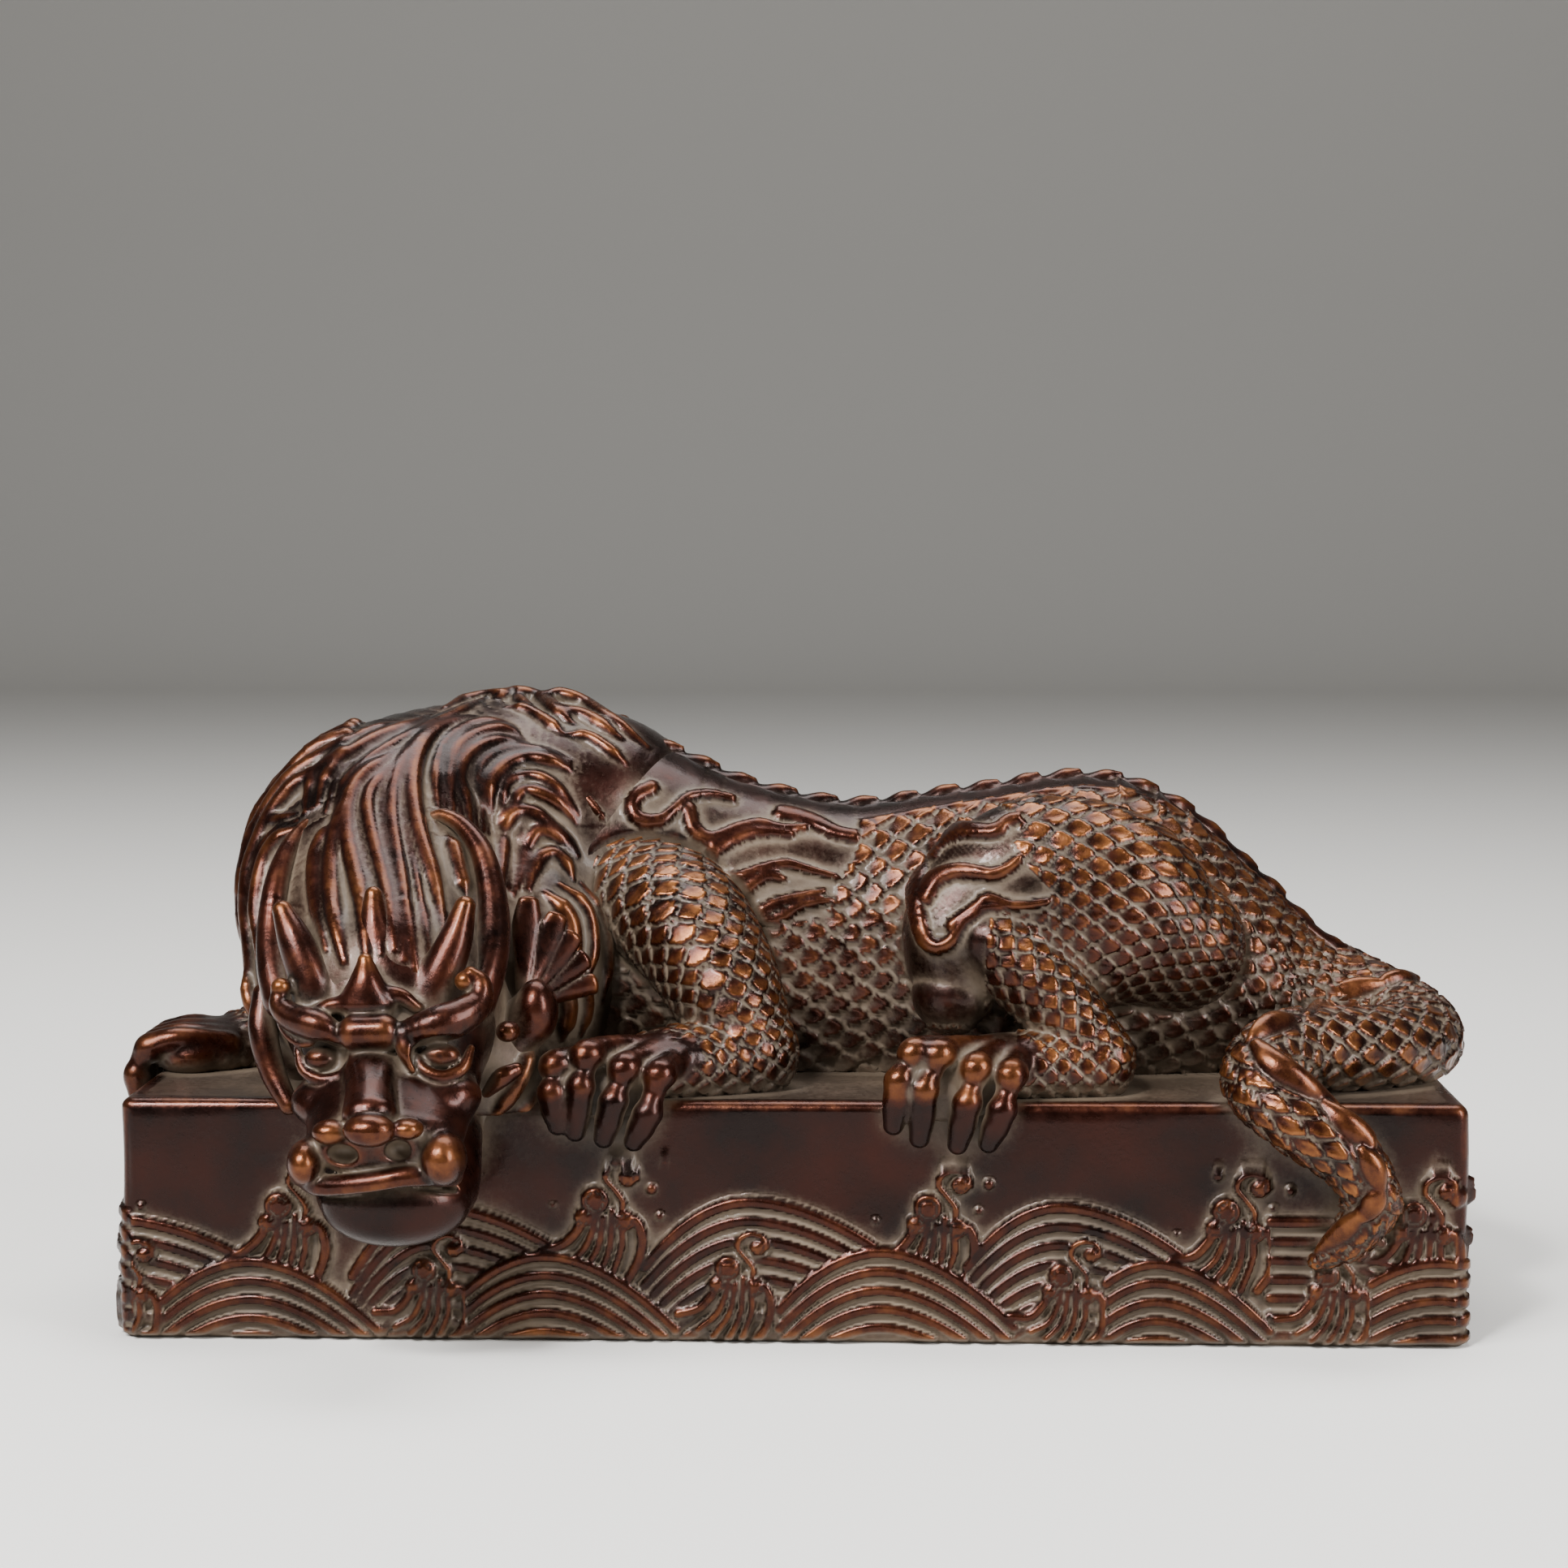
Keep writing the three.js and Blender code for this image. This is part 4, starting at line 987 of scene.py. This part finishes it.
X = -48.8
skull = [
    ball((X, -32, 11.5 + TOP), (13.2, 11.5, 12.4)),
    (tube([[X + 0.6, -35, 8.5 + TOP, 12, 8.6], [X + 1.4, -42, 3.2 + TOP, 10.3, 6.4],
           [X + 1.8, -50, -1.4 + TOP, 9.2, 4.7]]), 2.0),
    (tube([[X + 1.2, -34, -4 + TOP, 10, 7.4], [X + 2.0, -42, -8.2 + TOP, 9.9, 6.4],
           [X + 2.6, -47.0, -9.4 + TOP, 8.9, 5.2]]), 1.2),
    (strand([(457, 1308, -45.4, 3.6, 2.2), (456, 1340, -49.2, 2.9, 2.2), (455, 1372, -53.4, 3.2, 2.4)]), 0.7),
    (bead(455, 1393, -56.4, 3.1, 2.3, 1.95), 0.6),
    (bead(502, 1391, -55.0, 1.9, 2.0, 1.25), 0.5), (bead(407, 1395, -54.0, 2.2, 2.0, 1.5), 0.5),
    (bead(546, 1428, -52.6, 2.8, 3.6, 3.2), 0.7), (bead(377, 1432, -51.8, 2.2, 3.6, 2.7), 0.7),
    (strand([(372, 1446, -50.4, 1.5), (402, 1462, -52.6, 1.5), (455, 1459, -54.2, 1.5),
             (509, 1450, -53.8, 1.5),
             (556, 1448, -51.4, 1.4)]), 0.5),
    (bead(556, 1350, -44.8, 3.6, 3.6, 2.7), 1.4), (bead(390, 1358, -44.4, 3.0, 3.4, 2.7), 1.4),
    (strand([(438, 1273, -46.0, 2.25, 2.2), (472, 1272, -46.0, 2.25, 2.2)]), 0.3),
    (strand([(498, 1276, -45.8, 1.7), (536, 1264, -46.0, 2.3), (568, 1252, -44.6, 2.2), (589, 1234, -43, 1.8),
             (592, 1212, -42.4, 1.3), (580, 1200, -42.4, 0.9)]), 0.4),
    (bead(573, 1209, -42.6, 1.25), 0.2),
    (strand([(498, 1278, -46.2, 1.5), (502, 1298, -47.2, 1.15), (508, 1318, -47.8, 0.5)]), 0.3),
    (strand([(516, 1274, -46.3, 1.0), (514, 1292, -47.2, 0.8), (514, 1310, -47.6, 0.45)]), 0.25),
    (strand([(414, 1278, -45.6, 1.6), (390, 1264, -45.6, 1.9), (361, 1254, -44.0, 1.7),
             (346, 1240, -42.8, 1.4),
             (344, 1222, -42.2, 1.0)]), 0.4),
    (bead(346, 1217, -42.2, 1.2), 0.2),
    (strand([(340, 1240, -41, 0.5), (350, 1268, -42.6, 0.55), (366, 1284, -44, 0.5),
             (392, 1288, -45.4, 0.45)]), 0.3),
    (strand([(352, 1256, -42.4, 0.5), (366, 1272, -43.9, 0.55), (388, 1279, -45.2, 0.5),
             (410, 1284, -46, 0.45)]), 0.3),
    (strand([(452, 1234, -43.6, 3.7, 2.6), (451, 1210, -43.6, 2.2, 2.0), (450, 1184, -43.2, 0.95)]), 0.7),
    (strand([(436, 1236, -44, 1.1), (408, 1240, -44, 1.0), (384, 1250, -43.6, 0.7)]), 0.5),
    (strand([(470, 1226, -43.6, 1.2), (494, 1228, -43.6, 1.0), (514, 1242, -43.6, 0.7)]), 0.5),
    (strand([(394, 1240, -40, 3.0), (380, 1200, -39.6, 2.6), (363, 1158, -38.6, 2.1),
             (348, 1122, -37.4, 1.25)]), 0.9),
    (strand([(476, 1222, -39, 4.8, 3.4), (470, 1186, -38.6, 3.5, 2.8), (462, 1140, -37.6, 2.0, 1.9),
             (460, 1103, -36.4, 1.1)]), 0.9),
    (strand([(530, 1240, -40, 3.0), (544, 1200, -39.6, 2.6), (561, 1158, -38.6, 2.1),
             (573, 1117, -37.4, 1.3)]), 0.9),
    (strand([(586, 1232, -36, 2.6), (600, 1196, -34, 2.3), (608, 1150, -31, 2.1), (606, 1100, -28, 1.8),
             (594, 1052, -25, 1.5),
             (572, 1020, -22.5, 1.2), (549, 1006, -21, 1.0), (532, 1007, -20.5, 0.8)], count=40), 0.6),
    (strand([(348, 1232, -36, 2.4), (338, 1196, -34, 2.1), (335, 1150, -31, 1.9), (340, 1095, -28, 1.6),
             (352, 1056, -25, 1.35),
             (368, 1029, -22.5, 1.1), (388, 1013, -21, 0.95), (405, 1015, -20.5, 0.7)], count=40), 0.6),
    (bead(661, 1246, -31, 2.7, 3.2, 4.0), 0.8), (bead(626, 1271, -37.5, 1.5, 1.8, 1.3), 0.4),
    (strand([(600, 1346, -36, 0.7), (618, 1328, -37.0, 1.2), (636, 1318, -36.4, 0.9)]), 0.4),
    (strand([(326, 1225, -31, 1.5), (324, 1270, -33, 1.8), (336, 1320, -34.5, 1.6), (356, 1362, -36.5, 1.2)]),
     0.8),
    (strand([(636, 1262, -30, 3), (620, 1330, -28, 4), (590, 1400, -26, 3.4)]), 2),
]
ear = []
for n, (u, v) in enumerate(((651, 1110), (686, 1130), (706, 1154), (720, 1182), (731, 1212))):
    y = -26.4 + 0.5 * n
    ear.append((strand([(644, 1232, -27.5, 0.8, 0.8), (0.6 * 644 + 0.4 * u, 0.6 * 1232 + 0.4 * v, y, 1.4,
                                                       0.7),
                        (0.25 * 644 + 0.75 * u, 0.25 * 1232 + 0.75 * v, y + 1.0, 1.9 - 0.12 * n, 0.75),
                        (u, v, y + 1.5, 1.35, 0.65)], up=(0.25, -0.9, 0.1)), 0.06))
whole = joined(skull + ear, 0.8)
eyes = [(543, 1301, -46.4, 2.6, 1.6, 1.55), (396, 1305, -45.6, 2.2, 1.6, 1.45)]
holes = [bead(490, 1419, -54.6, 1.5, 2.2, 1.25), bead(421, 1423, -53.8, 1.9, 2.2, 1.2)]
sockets = [bead(u, v, y - 0.9, rx + 0.9, 1.9, rz + 0.8) for u, v, y, rx, ry, rz in eyes]
balls = [bead(u, v, y + 1.1, rx * 0.92, ry, rz) for u, v, y, rx, ry, rz in eyes]
lids = [strand([(514, 1304, -46.2, 0.6), (524, 1320, -47.0, 0.8), (546, 1327, -47.1, 0.85),
                (570, 1316, -46.1, 0.75), (580, 1292, -44.6, 0.5)]),
        strand([(367, 1294, -43.9, 0.5), (374, 1318, -45.2, 0.7), (396, 1331, -46.2, 0.8),
                (420, 1326, -46.6, 0.75), (430, 1312, -46.4, 0.5)])]
pupils = [bead(541, 1303, -47.6, 0.55, 0.9, 0.55), bead(398, 1306, -46.8, 0.5, 0.9, 0.5)]
mouth = strand([(360, 1474, -48, 3, 0.42), (402, 1478, -53, 3, 0.45), (455, 1474, -55, 3, 0.45),
                (509, 1467, -54.6, 3, 0.45),
                (566, 1466, -49, 3, 0.42)], up=(0, 0.1, 1))


def head_form(p):
    """The head with its sockets, nostrils and mouth cut and the eyes and lids put in."""
    d = whole(p)
    for cut in holes + sockets:
        d = carve(d, cut(p)[0], 0.8)
    d = carve(d, mouth(p)[0], 0.5)
    for part in balls + lids:
        d = melt(d, part(p)[0], 0.4)
    for cut in pupils:
        d = carve(d, cut(p)[0], 0.2)
    return d


points, quads = sculpt(head_form, (-68, -62, 12), (-22, -10, 68), 0.36)
# hands have worn the nose, lips, brows and horn tips to bare golden metal; below the mouth wear and dust are
# taken off, painted shade that darkens the jaw
rubbed = np.zeros(len(points))
for u, v, y, r in ((455, 1392, -57, 2.4), (502, 1390, -56, 2), (407, 1395, -55.5, 1.8), (546, 1422, -55, 3),
                   (375, 1426, -54, 2.6),
                   (348, 1122, -38, 2.2), (460, 1103, -37, 2.6), (573, 1117, -38, 2.4), (450, 1184, -44, 2),
                   (455, 1270, -48, 2),
                   (575, 1208, -43.5, 2.2), (346, 1217, -43, 2), (538, 1007, -21, 3), (400, 1014, -21, 3)):
    rubbed = np.maximum(rubbed, np.exp(-(np.linalg.norm(points - spot(u, v, y), axis=1) / r) ** 2))
# painted shade: the lowest part of the head, the jaw, is made darker
low = np.clip((23 - points[:, 2]) / 2.5, 0, 1)
cast("head", points, quads, wear_and_painted_light=0.2 + 0.12 * rubbed - 0.25 * low, dust_and_painted_shade=-0.5 * low, edges=0.3)

# Studio
# A pale floor, a large soft light on the left, a strip on the right and a weak fill from above.

floor_mesh = bpy.data.meshes.new("floor")
reach, back = 3.0, 1.6
sweep = [(-reach, 0.0), (back, 0.0)] + [(back + 0.6 * sin(t), 0.6 - 0.6 * cos(t)) for t in
                                          np.linspace(0, pi / 2, 12)[1:]] + [(back + 0.6, 2.6)]
floor_mesh.from_pydata([(x, y, z) for y, z in sweep for x in (-reach, reach)], [],
                       [(2 * i, 2 * i + 1, 2 * i + 3, 2 * i + 2) for i in range(len(sweep) - 1)])
for face in floor_mesh.polygons:
    face.use_smooth = True
paper = bpy.data.materials.new("pale_paper")
paper.use_nodes = True
paper.node_tree.nodes["Principled BSDF"].inputs["Base Color"].default_value = linear("#cfcdc9")
paper.node_tree.nodes["Principled BSDF"].inputs["Roughness"].default_value = 0.9
floor_mesh.materials.append(paper)
floor = bpy.data.objects.new("floor", floor_mesh)
bpy.context.collection.objects.link(floor)

for name, place, aim, width, tall, power in (
        ("key", (-0.42, -0.5, 0.55), (-0.02, 0, 0.04), 0.42, 0.3, 12.0),
        ("strip", (0.58, -0.42, 0.34), (0.04, 0, 0.04), 0.18, 0.5, 8.0),
        ("spark", (-0.22, -0.5, 0.62), (0, 0, 0.04), 0.1, 0.1, 6.0),
        ("top", (0.05, 0.2, 0.8), (0, 0, 0.03), 0.7, 0.4, 8.0)):
    lamp = bpy.data.lights.new(name, "AREA")
    lamp.shape = "RECTANGLE"
    lamp.size, lamp.size_y, lamp.energy = width, tall, power
    light = bpy.data.objects.new(name, lamp)
    light.location = place
    light.rotation_euler = (Vector(aim) - Vector(place)).to_track_quat("-Z", "Y").to_euler()
    bpy.context.collection.objects.link(light)
world = bpy.data.worlds.new("studio")
world.use_nodes = True
world.node_tree.nodes["Background"].inputs["Color"].default_value = linear("#dcdad6")
world.node_tree.nodes["Background"].inputs["Strength"].default_value = 0.2
bpy.context.scene.world = world

camera_data = bpy.data.cameras.new("camera")
camera_data.lens = 74.53
camera_data.sensor_width = 36.0
camera = bpy.data.objects.new("camera", camera_data)
camera.location = EYE * 0.001
camera.rotation_euler = (pi / 2 - PITCH, 0, YAW)
bpy.context.collection.objects.link(camera)
bpy.context.scene.camera = camera
